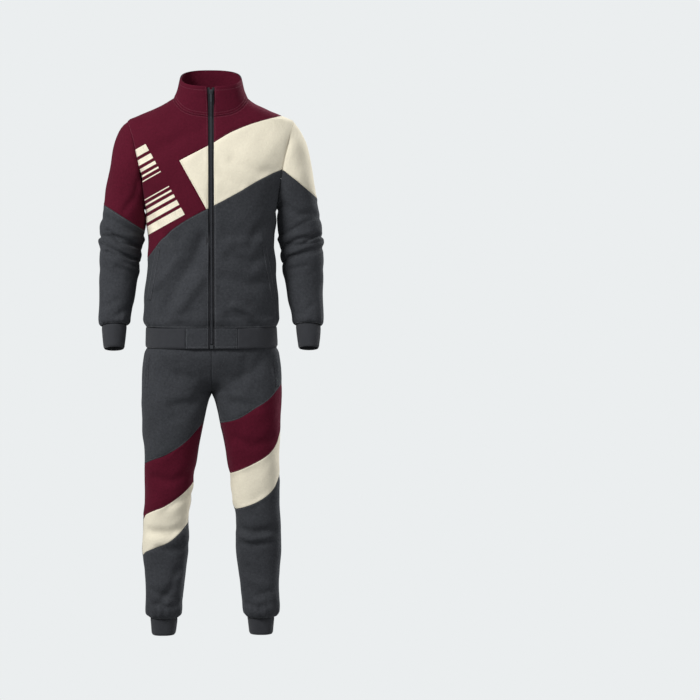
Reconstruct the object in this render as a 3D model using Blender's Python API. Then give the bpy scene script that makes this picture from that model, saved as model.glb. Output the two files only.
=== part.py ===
"""Two-piece tracksuit, filled out as it is worn: a zipped jacket over cuffed trousers.

Every piece of cloth is a thin wall between an outer surface and the same surface moved in.
Sizes are in millimetres: x runs out from the centre line, minus on the wearer's right,
y from front (minus) to back, and heights go up from the ankle hem. The finished pieces are
in metres, with the origin at the side of the neck's height on the centre line.
"""

import math

import bmesh
import bpy
import numpy as np
from mathutils import Matrix, Vector

# Cloth and seams
CLOTH = 2.0
TRIM_CLOTH = 1.2
TAPE_CLOTH = 0.8
SEAM = 0.4
NECK_HEIGHT = 1505.0
SQUARENESS = 0.8

# Jacket
HEM, HEM_SEAM = 812.0, 869.0
ARMPIT_X, ARMPIT = 183.0, 1196.0
SHOULDER_X, SHOULDER = 232.0, 1439.0
ARMHOLE_Y, ARMHOLE_DEPTH = 4.0, 76.0
ARMHOLE_TURN = 28.0
BAND_AT_ARMHOLE_FRONT, BAND_AT_ARMHOLE_BACK = 1306.0, 1285.0
COLLAR_FRONT_TOP, COLLAR_BACK_TOP = 1534.0, 1586.0
COLLAR_TOP = {"half_width": 85.0, "front": 81.0, "back": 62.0, "side": -5.0}
COLLAR_HOLLOW = 5.0
HEM_TAB = 71.0

# Zip
ZIP_OPENING = 8.0
CHAIN_HALF, CHAIN_PROUD, CHAIN_DEEP = 3.0, 0.4, 2.9
TAPE_OUTER = 14.0
STRIP_END = 15.0
SLIDER_HEIGHT = 1519.0

# Trousers
CROTCH, RISE_CURVE = 685.0, 112.0
HIP_LOW, HIP_HIGH = 610.0, 800.0
WAIST_SEAM, WAIST_TOP = 920.0, 962.0
ANKLE_SEAM = 48.0

COLOURS = {
    "charcoal": (0.035, 0.038, 0.041),
    "maroon": (0.095, 0.008, 0.024),
    "cream": (0.78, 0.72, 0.58),
    "zip": (0.018, 0.020, 0.024),
}


class Sections:
    """Rows of sizes with named columns, read on a smooth monotone curve between the rows."""

    def __init__(self, columns, rows):
        self.columns = columns.split()
        self.rows = np.array(rows, float)

    def at(self, where, column):
        x, y = self.rows[:, 0], self.rows[:, self.columns.index(column)]
        gap, slope = np.diff(x), np.diff(y) / np.diff(x)
        turns = slope[:-1] * slope[1:] > 0
        mean = 2 * slope[:-1] * slope[1:] / np.where(turns, slope[:-1] + slope[1:], 1)
        tangent = np.concatenate([slope[:1], np.where(turns, mean, 0), slope[-1:]])
        where = np.asarray(where, float)
        i = np.clip(np.searchsorted(x, where) - 1, 0, len(gap) - 1)
        t = (where - x[i]) / gap[i]
        bend = (1 - t) * t * (
            (1 - t) * (tangent[i] - slope[i]) - t * (tangent[i + 1] - slope[i])
        )
        inside = y[i] + (y[i + 1] - y[i]) * t + gap[i] * bend
        low = y[0] + tangent[0] * (where - x[0])
        high = y[-1] + tangent[-1] * (where - x[-1])
        return np.where(t < 0, low, np.where(t > 1, high, inside))


# The jacket's body from hem to neck. Above the shoulder the half width is the shoulder line's.
TORSO = Sections("height half_width front back", [
    (812, 185.0, 128, 126),
    (869, 183.0, 127, 125),
    (893, 188.0, 134, 131),
    (965, 185.0, 132, 127),
    (1040, 178.5, 127, 121),
    (1110, 176.5, 126, 119),
    (1170, 178.5, 128, 122),
    (1189, 179.5, 128, 123),
    (1196, 183.0, 128, 124),
    (1250, 190.0, 127, 128),
    (1318, 207.0, 120, 127),
    (1380, 220.0, 104, 117),
    (1439, 232.0, 80, 97),
    (1457, 196.0, 72, 92),
    (1472, 160.0, 67, 87),
    (1491, 121.0, 62, 81),
    (1505, 104.0, 60, 76),
    (1520, 98.0, 59, 71),
])
# Seam lines of the jacket as the front and back views show them.
DIAGONAL_SEAM = Sections("x height", [
    (-178, 1060), (-126, 1124), (-70, 1165), (10, 1207), (77, 1243), (131, 1275), (197, 1306),
])
YOKE_SEAM = Sections("x height", [
    (0, 1374), (58, 1409), (120, 1434), (157, 1445), (197, 1456),
])
# The cream inset beside the zip on the wearer's right: the height of its top at the zip, its
# outer point as x and height, and where its slanting edge meets the diagonal seam.
INSET_ZIP_TOP, INSET_POINT, INSET_FOOT = 1370.0, (-87.0, 1329.0), -13.0
FRONT_NECKLINE = Sections("x height", [(0, 1450), (50, 1457), (75, 1467), (98, 1491), (104, 1505)])
BACK_NECKLINE = Sections("x height", [(0, 1518), (60, 1516), (90, 1511), (104, 1505)])

# The sleeve's rings, from the armhole down, each through an outer and an inner point.
SLEEVE = Sections("ring outer_x outer_h inner_x inner_h y depth tilt bow", [
    (0, 232, 1439, 183.0, 1196, 4, 76, 0, 8),
    (1, 249, 1417, 185.0, 1195, 4, 79, 0, 6),
    (2, 262, 1390, 187.0, 1191, 4, 79, 0, 4),
    (3, 276, 1345, 188.0, 1183, 5, 77, 0, 2),
    (4, 287, 1285, 188.5, 1168, 7, 73, 0, 0),
    (5, 300, 1208, 188.5, 1137, 11, 68, 2, 0),
    (6, 308, 1148, 190.0, 1112, 14, 65, 4, 0),
    (7, 311, 1103, 197.0, 1062, 14, 62, 7, 0),
    (8, 313, 1047, 204.0, 1018, 10, 59, 9, 0),
    (9, 313, 960, 215.0, 948, -3, 53, 12, 0),
    (9.6, 312, 900, 226.0, 898, -17, 47, 13, 0),
    (9.85, 310, 880, 229.0, 882, -22, 44, 13, 0),
    (10, 305, 871, 235.0, 873, -24, 38, 13, 0),
])
SLEEVE_CUFF = Sections("ring outer_x outer_h inner_x inner_h y depth tilt bow", [
    (10, 305, 871, 235, 873, -24, 38, 13, 0),
    (11, 303, 840, 238, 841, -32, 37, 13, 0),
    (12, 299, 808, 242, 809, -40, 35, 13, 0),
])
RIGHT_SLEEVE_SEAM = 5.0
# The crests and troughs that ring the elbow.
ELBOW_FOLDS = Sections("ring reach depth", [
    (5.55, 0.16, -3.0),
    (6.0, 0.26, 5.0),
    (6.42, 0.13, -5.5),
    (6.85, 0.24, 5.0),
    (7.25, 0.12, -5.0),
    (7.65, 0.25, 3.0),
    (8.05, 0.14, -2.0),
])

# One trouser leg and its half of the hips. The inner edge is the inseam, and above the
# crotch the centre seam. Front, back and side are distances from y = 0.
LEG = Sections("height outer inner front back side", [
    (48, 175.0, 98, 27, 62, 18),
    (60, 185.0, 89, 42, 75, 17),
    (101, 186.5, 84, 50, 80, 16),
    (185, 190.0, 73, 53, 88, 14),
    (241, 195.0, 67, 56, 92, 12),
    (325, 192.0, 67, 67, 84, 6),
    (381, 189.0, 59, 73, 84, 4),
    (493, 189.0, 43, 85, 94, 4),
    (605, 193.0, 21, 98, 106, 4),
    (661, 196.0, 8, 105, 114, 5),
    (685, 196.0, 0, 108, 118, 6),
    (740, 195.0, 0, 115, 126, 6),
    (795, 188.0, 0, 120, 127, 5),
    (812, 179.8, 0, 118.0, 116.5, 4),
    (869, 177.5, 0, 117.0, 115.5, 4),
    (920, 163.0, 0, 112, 112, 4),
    (962, 158.0, 0, 108, 108, 4),
])
ANKLE_CUFF = Sections("height outer inner front back side", [
    (0, 171, 104, 24, 60, 18),
    (48, 175, 98, 27, 62, 18),
])
LEG_SEAMS = {
    "right": {
        "maroon": Sections("x height", [(27, 597), (78, 546), (126, 516), (185, 489), (193, 475)]),
        "cream": Sections("x height", [(52, 432), (89, 398), (126, 373), (185, 344), (193, 326)]),
        "shin": Sections("x height", [(68, 314), (94, 290), (126, 266), (188, 237), (196, 222)]),
    },
    "left": {
        "maroon": Sections("x height", [(27, 601), (72, 615), (120, 644), (158, 668), (194, 706)]),
        "cream": Sections("x height", [(50, 459), (109, 486), (158, 515), (182, 545), (192, 575)]),
        "shin": Sections("x height", [(70, 360), (120, 379), (152, 398), (174, 419), (189, 450)]),
    },
}

# Soft folds: where each lies, its direction from the horizontal, its size and its depth.
# "around" is 0 at the zip, 1 at the side, 2 at the centre back, minus on the wearer's right.
TORSO_FOLDS = Sections("around height turn length width depth", [
    (-1.55, 1030, 88, 190, 20, -5),
    (-0.86, 1135, 52, 55, 14, -4),
    (-0.62, 990, 62, 105, 26, 4),
    (-0.43, 1010, 60, 110, 24, -4),
    (-0.30, 905, 15, 60, 11, -3),
    (0.33, 905, -18, 70, 12, -4),
    (0.58, 938, -32, 75, 18, 5),
    (0.84, 1140, -52, 55, 14, -4),
    (1.45, 1010, 86, 200, 22, -6),
    (1.62, 1060, 88, 170, 22, 4),
    (1.98, 930, 90, 70, 13, -6),
    (2.14, 925, 92, 60, 12, 4),
])
# On a leg "around" is 0 at the side seam, 1 at the inseam and 2 at the side seam again.
LEG_FOLDS = Sections("around height turn length width depth", [
    (0.30, 752, 70, 45, 12, -4),
    (0.48, 120, -22, 50, 11, -5),
    (0.50, 300, 12, 60, 13, -3),
    (0.62, 160, 20, 50, 14, 4),
    (0.70, 655, 42, 60, 15, -5),
    (0.72, 770, 84, 40, 11, -4),
    (1.30, 352, 24, 60, 12, -6),
    (1.36, 385, 28, 60, 12, 5),
    (1.50, 640, -35, 70, 18, -5),
    (1.55, 418, -20, 60, 12, -5),
    (1.60, 330, -18, 55, 12, 4),
    (1.62, 110, 18, 50, 11, -4),
])


def arc(turn, end):
    """Sideways and forward shares, 0 to 1, along a squarish arc that stops at the angle end."""
    across = (np.sin(turn) / np.sin(end)) ** SQUARENESS
    sweep = (1 - np.cos(turn) ** SQUARENESS) / (1 - np.cos(end) ** SQUARENESS)
    return across, sweep


def armhole_angle(height):
    """Angle round the armhole at a height: 0 at the shoulder, pi at the armpit."""
    middle, reach = (SHOULDER + ARMPIT) / 2, (SHOULDER - ARMPIT) / 2
    return np.arccos(np.clip((height - middle) / reach, -1, 1))


def armhole_height(angle):
    return (SHOULDER + ARMPIT) / 2 + (SHOULDER - ARMPIT) / 2 * np.cos(angle)


def side_edge(height):
    """Half width, half depth of the armhole and end angle of the body's arc at a height."""
    round_armhole = np.sin(armhole_angle(height))
    straight = ARMPIT_X + (SHOULDER_X - ARMPIT_X) * (height - ARMPIT) / (SHOULDER - ARMPIT)
    bowed = straight - SLEEVE.at(0, "bow") * round_armhole**2
    in_armhole = (height > ARMPIT) & (height < SHOULDER)
    width = np.where(in_armhole, bowed, TORSO.at(height, "half_width"))
    end = np.radians(90 - ARMHOLE_TURN * round_armhole)
    return width, ARMHOLE_DEPTH * round_armhole, end


def soft_folds(table, around, height, millimetres_around):
    """Height of the soft folds of a table over a surface."""
    total = np.zeros(np.broadcast(around, height).shape)
    for place, level, turn, length, width, depth in table.rows:
        aside = (around - place) * millimetres_around
        up = height - level
        c, s = math.cos(math.radians(turn)), math.sin(math.radians(turn))
        along, across = aside * c + up * s, up * c - aside * s
        total += depth * np.exp(-((along / length) ** 2) - (across / width) ** 2)
    return total


def torso(around, height):
    """A point of the jacket's body."""
    around, height = np.broadcast_arrays(np.asarray(around, float), np.asarray(height, float))
    wrapped = np.where(around > 2, around - 4, around)
    turn = np.abs(wrapped)
    in_front = turn <= 1
    share = np.where(in_front, turn, 2 - turn)
    width, opening, end = side_edge(height)
    across, sweep = arc(share * end, end)
    depth = np.where(in_front, -TORSO.at(height, "front"), TORSO.at(height, "back"))
    edge = ARMHOLE_Y + np.where(in_front, -opening, opening)
    x, y = width * across, depth + (edge - depth) * sweep
    fade = np.clip((height - HEM_SEAM) / 20, 0, 1) * np.clip((1180 - height) / 40, 0, 1)
    lift = soft_folds(TORSO_FOLDS, wrapped, height, 245) * fade
    reach = np.hypot(x / width**2, y / depth**2)
    x = x + lift * x / width**2 / reach
    y = y + lift * y / depth**2 / reach
    return np.stack([np.sign(wrapped + 1e-12) * x, y, height], -1)


def sleeve(angle, ring, table=SLEEVE):
    """A point of the wearer's left sleeve: angle 0 is its outer side, a quarter turn its front."""
    angle, ring = np.broadcast_arrays(np.asarray(angle, float), np.asarray(ring, float))
    outer_x, outer_h, inner_x, inner_h, y, depth, tilt, bow = (
        table.at(ring, name) for name in table.columns[1:]
    )
    lift = np.zeros(angle.shape)
    for level, reach, height in ELBOW_FOLDS.rows:
        side = 0.7 + 0.3 * np.cos(angle - 2.2)
        lift += height * side * np.exp(-(((ring - level) / reach) ** 2))
    half = np.hypot(outer_x - inner_x, outer_h - inner_h) / 2
    grown = 1 + lift / half
    tilt = np.radians(tilt)
    x = (outer_x + inner_x) / 2 + (outer_x - inner_x) / 2 * np.cos(angle) * grown
    x = x - bow * np.sin(angle) ** 2
    h = (outer_h + inner_h) / 2 + (outer_h - inner_h) / 2 * np.cos(angle) * grown
    h = h + depth * np.sin(angle) * np.sin(tilt)
    y = y - depth * grown * np.sin(angle) * np.cos(tilt)
    return np.stack([x, y, h], -1)


def collar(around, share):
    """A point of the collar: share 0 is the neckline and 1 its top edge."""
    around, share = np.broadcast_arrays(np.asarray(around, float), np.asarray(share, float))
    wrapped = np.where(around > 2, around - 4, around)
    turn = np.abs(wrapped)
    front = turn <= 1
    line = np.where(
        front,
        seam_height(torso, turn, FRONT_NECKLINE, (1440, 1510)),
        seam_height(torso, turn, BACK_NECKLINE, (1500, 1525)),
    )
    base = torso(turn, line)
    depth = np.where(front, COLLAR_TOP["front"], COLLAR_TOP["back"])
    bearing = np.arctan2(base[..., 0] / 104, np.abs(base[..., 1] - ARMHOLE_Y) / 76)
    across, sweep = arc(bearing, math.pi / 2)
    top_x = COLLAR_TOP["half_width"] * across
    top_y = np.where(front, -depth, depth)
    top_y = top_y + (COLLAR_TOP["side"] - top_y) * sweep
    reach = (top_y + COLLAR_TOP["front"]) / (COLLAR_TOP["front"] + COLLAR_TOP["back"])
    top_h = COLLAR_FRONT_TOP + (COLLAR_BACK_TOP - COLLAR_FRONT_TOP) * reach
    top = np.stack([top_x, top_y, top_h], -1)
    point = base + (top - base) * share[..., None]
    hollow = COLLAR_HOLLOW * np.sin(np.pi * share) * (1 - share)
    point[..., 0] -= hollow * across
    point[..., 0] *= np.sign(wrapped + 1e-12)
    return point


def leg(around, height, table=LEG):
    """A point of the wearer's right leg: around 0 is the side seam, 1 the inseam or centre seam."""
    around, height = np.broadcast_arrays(np.asarray(around, float), np.asarray(height, float))
    outer, inner, front, back, side = (table.at(height, name) for name in table.columns[1:])
    inner = np.where(height < CROTCH, inner, 0)
    in_front = around <= 1
    share = np.where(in_front, around, 2 - around)
    depth = np.where(in_front, -front, back) - side
    quarter, half = share * math.pi / 2, share * math.pi
    hip_x = -outer * np.cos(quarter) ** SQUARENESS
    hip_y = side + depth * np.sin(quarter) ** SQUARENESS
    swing = np.sign(np.cos(half)) * np.abs(np.cos(half)) ** SQUARENESS
    leg_x = -(outer + inner) / 2 - (outer - inner) / 2 * swing
    leg_y = side + depth * np.abs(np.sin(half)) ** SQUARENESS
    rise = np.clip((height - CROTCH) / RISE_CURVE, 0, 1)
    arch = np.sqrt(rise * (2 - rise))
    climb = np.clip((height - HIP_LOW) / (HIP_HIGH - HIP_LOW), 0, 1)
    flow = climb**2 * (3 - 2 * climb)
    hip = flow + (arch - flow) * share**3
    x, y = leg_x + (hip_x - leg_x) * hip, leg_y + (hip_y - leg_y) * hip
    fade = np.clip((800 - height) / 25, 0, 1) * np.clip((height - ANKLE_SEAM) / 25, 0, 1)
    fade = fade * np.clip((1 - share) * 8, 0, 1) * np.clip(share * 8, 0, 1)
    lift = soft_folds(LEG_FOLDS, around, height, 190) * fade
    middle_x = -(outer + inner) / 2
    reach = np.hypot(x - middle_x, y - side) + 1e-9
    x, y = x + lift * (x - middle_x) / reach, y + lift * (y - side) / reach
    return np.stack([x, y, height], -1)


def seam_height(surface, around, line, between):
    """Height at which each column of a surface crosses a seam line drawn in the front view."""
    around = np.asarray(around, float)
    low, high = np.full(around.shape, float(between[0])), np.full(around.shape, float(between[1]))
    sign = -1 if line in LEG_SEAMS["right"].values() or line in LEG_SEAMS["left"].values() else 1
    for _ in range(40):
        middle = (low + high) / 2
        x = surface(around, middle)[..., 0] * sign
        above = middle > line.at(x, "height")
        low, high = np.where(above, low, middle), np.where(above, middle, high)
    return (low + high) / 2


def zip_edge(height, half_width):
    """How far round the body a line lies that stays this far from the centre line."""
    width, _, end = side_edge(np.asarray(height, float))
    return np.arcsin(np.sin(end) * (half_width / width) ** (1 / SQUARENESS)) / end


def beside_zip(heights, columns):
    """How far round each column lies, with a narrow strip along the zip before the others."""
    edge, strip = zip_edge(heights[..., :1], ZIP_OPENING), zip_edge(heights[..., :1], STRIP_END)
    return np.concatenate([edge, strip + (1 - strip) * columns], -1)


def spaced(*stops):
    """Values that run through the stops: value, steps, value, steps, value and so on."""
    values = [np.array([stops[0]], float)]
    for steps, end in zip(stops[1::2], stops[2::2]):
        values.append(np.linspace(values[-1][-1], end, int(steps) + 1)[1:])
    return np.concatenate(values)


def between_lines(columns, low, high, first_levels, last_levels):
    """Heights of a panel's grid: rows shared out at its first and last columns, blended between."""
    first = (first_levels - first_levels[0]) / (first_levels[-1] - first_levels[0])
    last = (last_levels - last_levels[0]) / (last_levels[-1] - last_levels[0])
    mix = (columns - columns[0]) / (columns[-1] - columns[0])
    share = first[:, None] * (1 - mix) + last[:, None] * mix
    return low + (high - low) * share


def to_frame(points):
    """Millimetres above the ankle hem to metres from the origin at the neck."""
    return (np.asarray(points, float) - [0, 0, NECK_HEIGHT]) / 1000


class Panel:
    """A grid of outer points that becomes one piece of cloth."""

    def __init__(
        self, name, colour, points, out=1, closed=False, mirrored=False, notch=(0, 0), **options
    ):
        self.name, self.colour, self.closed = name, colour, closed
        self.notch = notch
        self.points = np.array(points, float)
        self.out = out
        if mirrored:
            self.points[..., 0] *= -1
            self.out = -out
        self.options = options

    def faces(self):
        rows, columns = self.points.shape[:2]
        across = range(columns if self.closed else columns - 1)
        return [
            (r, c, (c + 1) % columns)
            for r in range(rows - 1)
            for c in across
            if r >= self.notch[0] or c >= self.notch[1]
        ]

    def face_normals(self):
        p = self.points
        for r, a, b in self.faces():
            normal = np.cross(p[r + 1, b] - p[r, a], p[r + 1, a] - p[r, b]) * self.out
            yield ((r, a), (r, b), (r + 1, b), (r + 1, a)), normal


def shared_normals(panels):
    """Gives the panels of one garment the same direction outwards wherever their points meet."""
    total = {}
    for panel in panels:
        for corners, normal in panel.face_normals():
            for corner in corners:
                key = tuple(np.round(panel.points[corner], 2))
                total[key] = total.get(key, 0) + normal / np.linalg.norm(normal)
    for panel in panels:
        shape = panel.points.shape
        flat = [total[tuple(np.round(p, 2))] for p in panel.points.reshape(-1, 3)]
        normals = np.array(flat).reshape(shape)
        panel.normals = normals / np.linalg.norm(normals, axis=-1, keepdims=True)


def trimmed(panel):
    """The panel's points, drawn back from its own edges by half a seam's gap."""
    rows, columns = panel.notch
    every, right, left = slice(None), slice(columns, None), slice(0, columns + 1)
    above, below = slice(rows, None), slice(0, rows + 1)
    edges = [((0, right), (1, right)), ((-1, every), (-2, every))]
    if rows:
        edges += [((rows, left), (rows + 1, left)), ((below, columns), (below, columns + 1))]
    if not panel.closed:
        edges += [((above, 0), (above, 1)), ((every, -1), (every, -2))]
    points = panel.points.copy()
    for edge, inner in edges:
        step = panel.points[inner] - panel.points[edge]
        points[edge] += step / np.linalg.norm(step, axis=-1, keepdims=True) * SEAM / 2
    return points


def make_material(colour):
    material = bpy.data.materials.get(colour)
    if material is None:
        material = bpy.data.materials.new(colour)
        material.use_nodes = True
        shader = material.node_tree.nodes["Principled BSDF"]
        shader.inputs["Base Color"].default_value = (*COLOURS[colour], 1)
        shader.inputs["Roughness"].default_value = 0.45 if colour == "zip" else 0.9
        shader.inputs["Metallic"].default_value = 0.0
    return material


def add_object(name, vertices, faces, colour):
    mesh = bpy.data.meshes.new(name)
    mesh.from_pydata([tuple(v) for v in to_frame(vertices)], [], faces)
    shape = bmesh.new()
    shape.from_mesh(mesh)
    unused = [vertex for vertex in shape.verts if not vertex.link_faces]
    bmesh.ops.delete(shape, geom=unused, context="VERTS")
    bmesh.ops.recalc_face_normals(shape, faces=shape.faces)
    shape.to_mesh(mesh)
    shape.free()
    mesh.shade_smooth()
    mesh.set_sharp_from_angle(angle=math.radians(40))
    mesh.materials.append(make_material(colour))
    obj = bpy.data.objects.new(name, mesh)
    bpy.context.scene.collection.objects.link(obj)
    return obj


def seam_faces(panel, a, b, count):
    """The two triangles that close a wall between two edge points, split alike on every piece."""
    flat = panel.points.reshape(-1, 3)
    if tuple(np.round(flat[a][::-1], 2)) > tuple(np.round(flat[b][::-1], 2)):
        return [[b, a, a + count], [b, a + count, b + count]]
    return [[b, a, b + count], [a, a + count, b + count]]


def split_faces(panel):
    """The triangles of a panel's outer side: each face is split along its shorter diagonal."""
    columns = panel.points.shape[1]
    flat = panel.points.reshape(-1, 3)
    for r, a, b in panel.faces():
        a, b, c, d = r * columns + a, r * columns + b, (r + 1) * columns + b, (r + 1) * columns + a
        if math.dist(flat[a], flat[c]) < math.dist(flat[b], flat[d]):
            yield [a, b, c]
            yield [a, c, d]
        else:
            yield [a, b, d]
            yield [b, c, d]


def make_wall(panel):
    """The cloth of a panel: its outer points and the same points one thickness further in."""
    thickness = panel.options.get("thickness", CLOTH)
    sunk = panel.options.get("sunk", 0.0)
    outer = trimmed(panel) - panel.normals * sunk
    inner = outer - panel.normals * thickness
    count = outer.shape[0] * outer.shape[1]
    faces = []
    for triangle in split_faces(panel):
        faces.append(triangle)
        faces.append([i + count for i in reversed(triangle)])
    sides = {(a, b) for t in faces[::2] for a, b in zip(t, t[1:] + t[:1])}
    for a, b in sorted(sides):
        if (b, a) not in sides:
            faces += seam_faces(panel, a, b, count)
    vertices = np.concatenate([outer.reshape(-1, 3), inner.reshape(-1, 3)])
    return add_object(panel.name, vertices, faces, panel.colour)


def armhole_angles():
    """Angles of the points round the front or back of an armhole, from the armpit up."""
    back = armhole_angle(BAND_AT_ARMHOLE_BACK)
    front = armhole_angle(BAND_AT_ARMHOLE_FRONT)
    return spaced(math.pi, 5, back, 1, front, 6, 0)


def side_levels():
    """Heights of every front panel's points down its side, from the hem seam to the neck."""
    armhole = armhole_height(armhole_angles())
    band = int(np.argmin(np.abs(armhole - BAND_AT_ARMHOLE_FRONT)))
    yoke = float(seam_height(torso, np.array(1.0), YOKE_SEAM, (1440, 1504)))
    top = float(seam_height(torso, np.array(1.0), FRONT_NECKLINE, (1440, 1510)))
    low = float(seam_height(torso, np.array(-1.0), DIAGONAL_SEAM, (950, 1190)))
    return {
        "left_lower": np.concatenate([spaced(HEM_SEAM, 9, ARMPIT), armhole[1:band + 1]]),
        "left_band": np.concatenate([armhole[band:], spaced(SHOULDER, 1, yoke)[1:]]),
        "left_yoke": spaced(yoke, 3, top),
        "right_lower": spaced(HEM_SEAM, 6, low),
        "right_upper": np.concatenate(
            [spaced(low, 3, ARMPIT), armhole[1:], spaced(SHOULDER, 4, top)[1:]]
        ),
    }


def jacket_fronts():
    """The two fronts, each cut in panels along its seams, from the zip to the side."""
    levels = side_levels()
    lines = {
        "left_lower": (None, DIAGONAL_SEAM, "charcoal"),
        "left_band": (DIAGONAL_SEAM, YOKE_SEAM, "cream"),
        "left_yoke": (YOKE_SEAM, FRONT_NECKLINE, "maroon"),
        "right_lower": (None, DIAGONAL_SEAM, "charcoal"),
    }
    for name, (low_line, high_line, colour) in lines.items():
        side = -1 if name.startswith("right") else 1
        columns = side * spaced(0, 9, 1)
        low = height_of(low_line, columns) if low_line else np.full(columns.shape, HEM_SEAM)
        high = height_of(high_line, columns)
        even = np.linspace(0, 1, len(levels[name]))
        heights = between_lines(columns, low, high, even, levels[name])
        heights = np.insert(heights, 1, heights[:, 0], 1)
        around = side * beside_zip(heights, spaced(0, 9, 1))
        heights[0] = height_of(low_line, around[0]) if low_line else heights[0]
        heights[-1] = height_of(high_line, around[-1])
        heights[:, -1] = levels[name]
        yield Panel("front_" + name, colour, torso(around, heights), out=side)
    around, heights, notch = right_upper_grid(levels["right_upper"])
    points = torso(around, heights)
    rows, columns = notch
    yield Panel("front_right_inset", "cream", points[: rows + 1, : columns + 1], out=-1)
    yield Panel("front_right_upper", "maroon", points, out=-1, notch=notch)


def right_upper_grid(levels):
    """How far round and how high each point of the wearer's right upper front lies.

    The inset takes the rows below the returned row and the columns before the returned column.
    """
    row, column = int(np.argmin(np.abs(levels - BAND_AT_ARMHOLE_FRONT))), 3
    foot = float(height_of(DIAGONAL_SEAM, -zip_edge(1196.0, -INSET_FOOT)))
    climb = np.linspace(0, 1, row + 1)
    slant_h = foot + (INSET_POINT[1] - foot) * climb
    slant_x = INSET_FOOT + (INSET_POINT[0] - INSET_FOOT) * climb
    slant = zip_edge(slant_h, -slant_x)

    bottom = np.concatenate([[slant[0]], beside_zip(np.array([foot]), spaced(0, 9, 1))[2:]])
    share = (bottom - slant[0]) / (1 - slant[0])
    rest = slant[:, None] + (1 - slant)[:, None] * share
    low = height_of(DIAGONAL_SEAM, -rest[0])
    low[[0, -1]] = foot, levels[0]
    high = INSET_POINT[1] + (levels[row] - INSET_POINT[1]) * share
    rest_h = between_lines(share, low, high, climb, levels[: row + 1])

    inner = np.array([0, 0.3, 0.65, 1])
    zip_low = float(height_of(DIAGONAL_SEAM, -zip_edge(1200.0, ZIP_OPENING)))
    zip_high = INSET_ZIP_TOP
    low = zip_low + (foot - zip_low) * inner
    high = zip_high + (INSET_POINT[1] - zip_high) * inner
    inset_h = between_lines(inner, low, high, climb, climb)
    edge = zip_edge(inset_h[:, 0], ZIP_OPENING)
    inset = edge[:, None] + (slant - edge)[:, None] * inner

    first, first_h = np.append(inset[-1], rest[-1, 1:]), np.append(inset_h[-1], rest_h[-1, 1:])
    steps = np.linspace(0, 1, len(levels) - row)[:, None]
    last = beside_zip(FRONT_NECKLINE.rows[:1, 1], spaced(0, len(first) - 2, 1))
    last_h = height_of(FRONT_NECKLINE, -last)
    upper_h = between_lines(first, first_h, last_h, steps[:, 0], levels[row:])
    upper = first + (last - first) * steps
    upper[1:, 0] = zip_edge(upper_h[1:, 0], ZIP_OPENING)
    upper_h[:, -1] = levels[row:]
    around = np.concatenate([np.concatenate([inset, rest[:, 1:]], 1), upper[1:]])
    heights = np.concatenate([np.concatenate([inset_h, rest_h[:, 1:]], 1), upper_h[1:]])
    return -around, heights, (row, column)


def height_of(line, around):
    """Height of one of the jacket's own seam lines at points round the body."""
    spans = {DIAGONAL_SEAM: (950, 1438), YOKE_SEAM: (1300, 1504), FRONT_NECKLINE: (1440, 1510)}
    around = np.abs(around) if line is FRONT_NECKLINE else around
    return seam_height(torso, around, line, spans[line])


def jacket_back():
    levels = side_levels()
    columns = np.concatenate([spaced(1, 9, 2), spaced(2, 9, 3)[1:]])
    high = seam_height(torso, np.minimum(columns, 4 - columns), BACK_NECKLINE, (1500, 1525))
    columns[[0, -1]] = np.nextafter(1, 2), np.nextafter(3, 2)
    left = np.concatenate([levels["left_lower"], levels["left_band"][1:], levels["left_yoke"][1:]])
    right = np.concatenate([levels["right_lower"], levels["right_upper"][1:]])
    even = np.linspace(HEM_SEAM, left[-1], len(left))
    side = np.where(columns < 2, left[:, None], right[:, None])
    mix = np.abs(columns - 2)
    share = (even[:, None] * (1 - mix) + side * mix - HEM_SEAM) / (left[-1] - HEM_SEAM)
    return Panel("back", "charcoal", torso(columns, HEM_SEAM + (high - HEM_SEAM) * share))


def hem_band():
    """The rib band round the back and its two self-cloth tabs beside the zip."""
    heights = spaced(HEM, 2, HEM_SEAM)[:, None]
    around = beside_zip(heights, spaced(0, 9, 1))
    tab = int(np.argmin(np.abs(torso(around[-1], HEM_SEAM)[:, 0] - HEM_TAB)))
    ring = [around[:, tab:], np.tile(spaced(1, 18, 3)[1:-1], (3, 1)), 4 - around[:, :tab - 1:-1]]
    yield Panel("hem_band", "charcoal", torso(np.concatenate(ring, 1), heights))
    for side, name in ((1, "left"), (-1, "right")):
        points = torso(side * around[:, :tab + 1], heights)
        yield Panel("hem_tab_" + name, "charcoal", points, out=side)


def sleeve_angles():
    """Angles all round a sleeve, from the armpit over the back to the front."""
    half = armhole_angles()
    return np.concatenate([-half, half[-2:0:-1]])


def right_sleeve():
    angles = sleeve_angles()
    upper = spaced(0, 5, RIGHT_SLEEVE_SEAM)
    lower = spaced(RIGHT_SLEEVE_SEAM, 2, 6, 4, 7, 3, 7.65, 3, 9, 1, 9.6, 1, 9.85, 1, 10)
    for name, colour, rings in (("upper", "maroon", upper), ("lower", "charcoal", lower)):
        points = sleeve(angles, rings[:, None])
        yield Panel("sleeve_right_" + name, colour, points, closed=True, mirrored=True)


def left_seam_rings(angles):
    """Ring number of the left sleeve's seam: a straight line from the armhole to the outer side."""
    start = np.where(np.sin(angles) > 0, BAND_AT_ARMHOLE_FRONT, BAND_AT_ARMHOLE_BACK)
    start_x = sleeve(armhole_angle(start), 0)[..., 0]
    end = sleeve(0, 4.75)
    slope = (end[2] - start) / (end[0] - start_x)
    low, high = np.zeros(angles.shape), np.full(angles.shape, 5.0)
    for _ in range(40):
        middle = (low + high) / 2
        point = sleeve(angles, middle)
        past = point[..., 2] < start + slope * (point[..., 0] - start_x)
        low, high = np.where(past, low, middle), np.where(past, middle, high)
    return np.maximum((low + high) / 2, 0)


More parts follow.
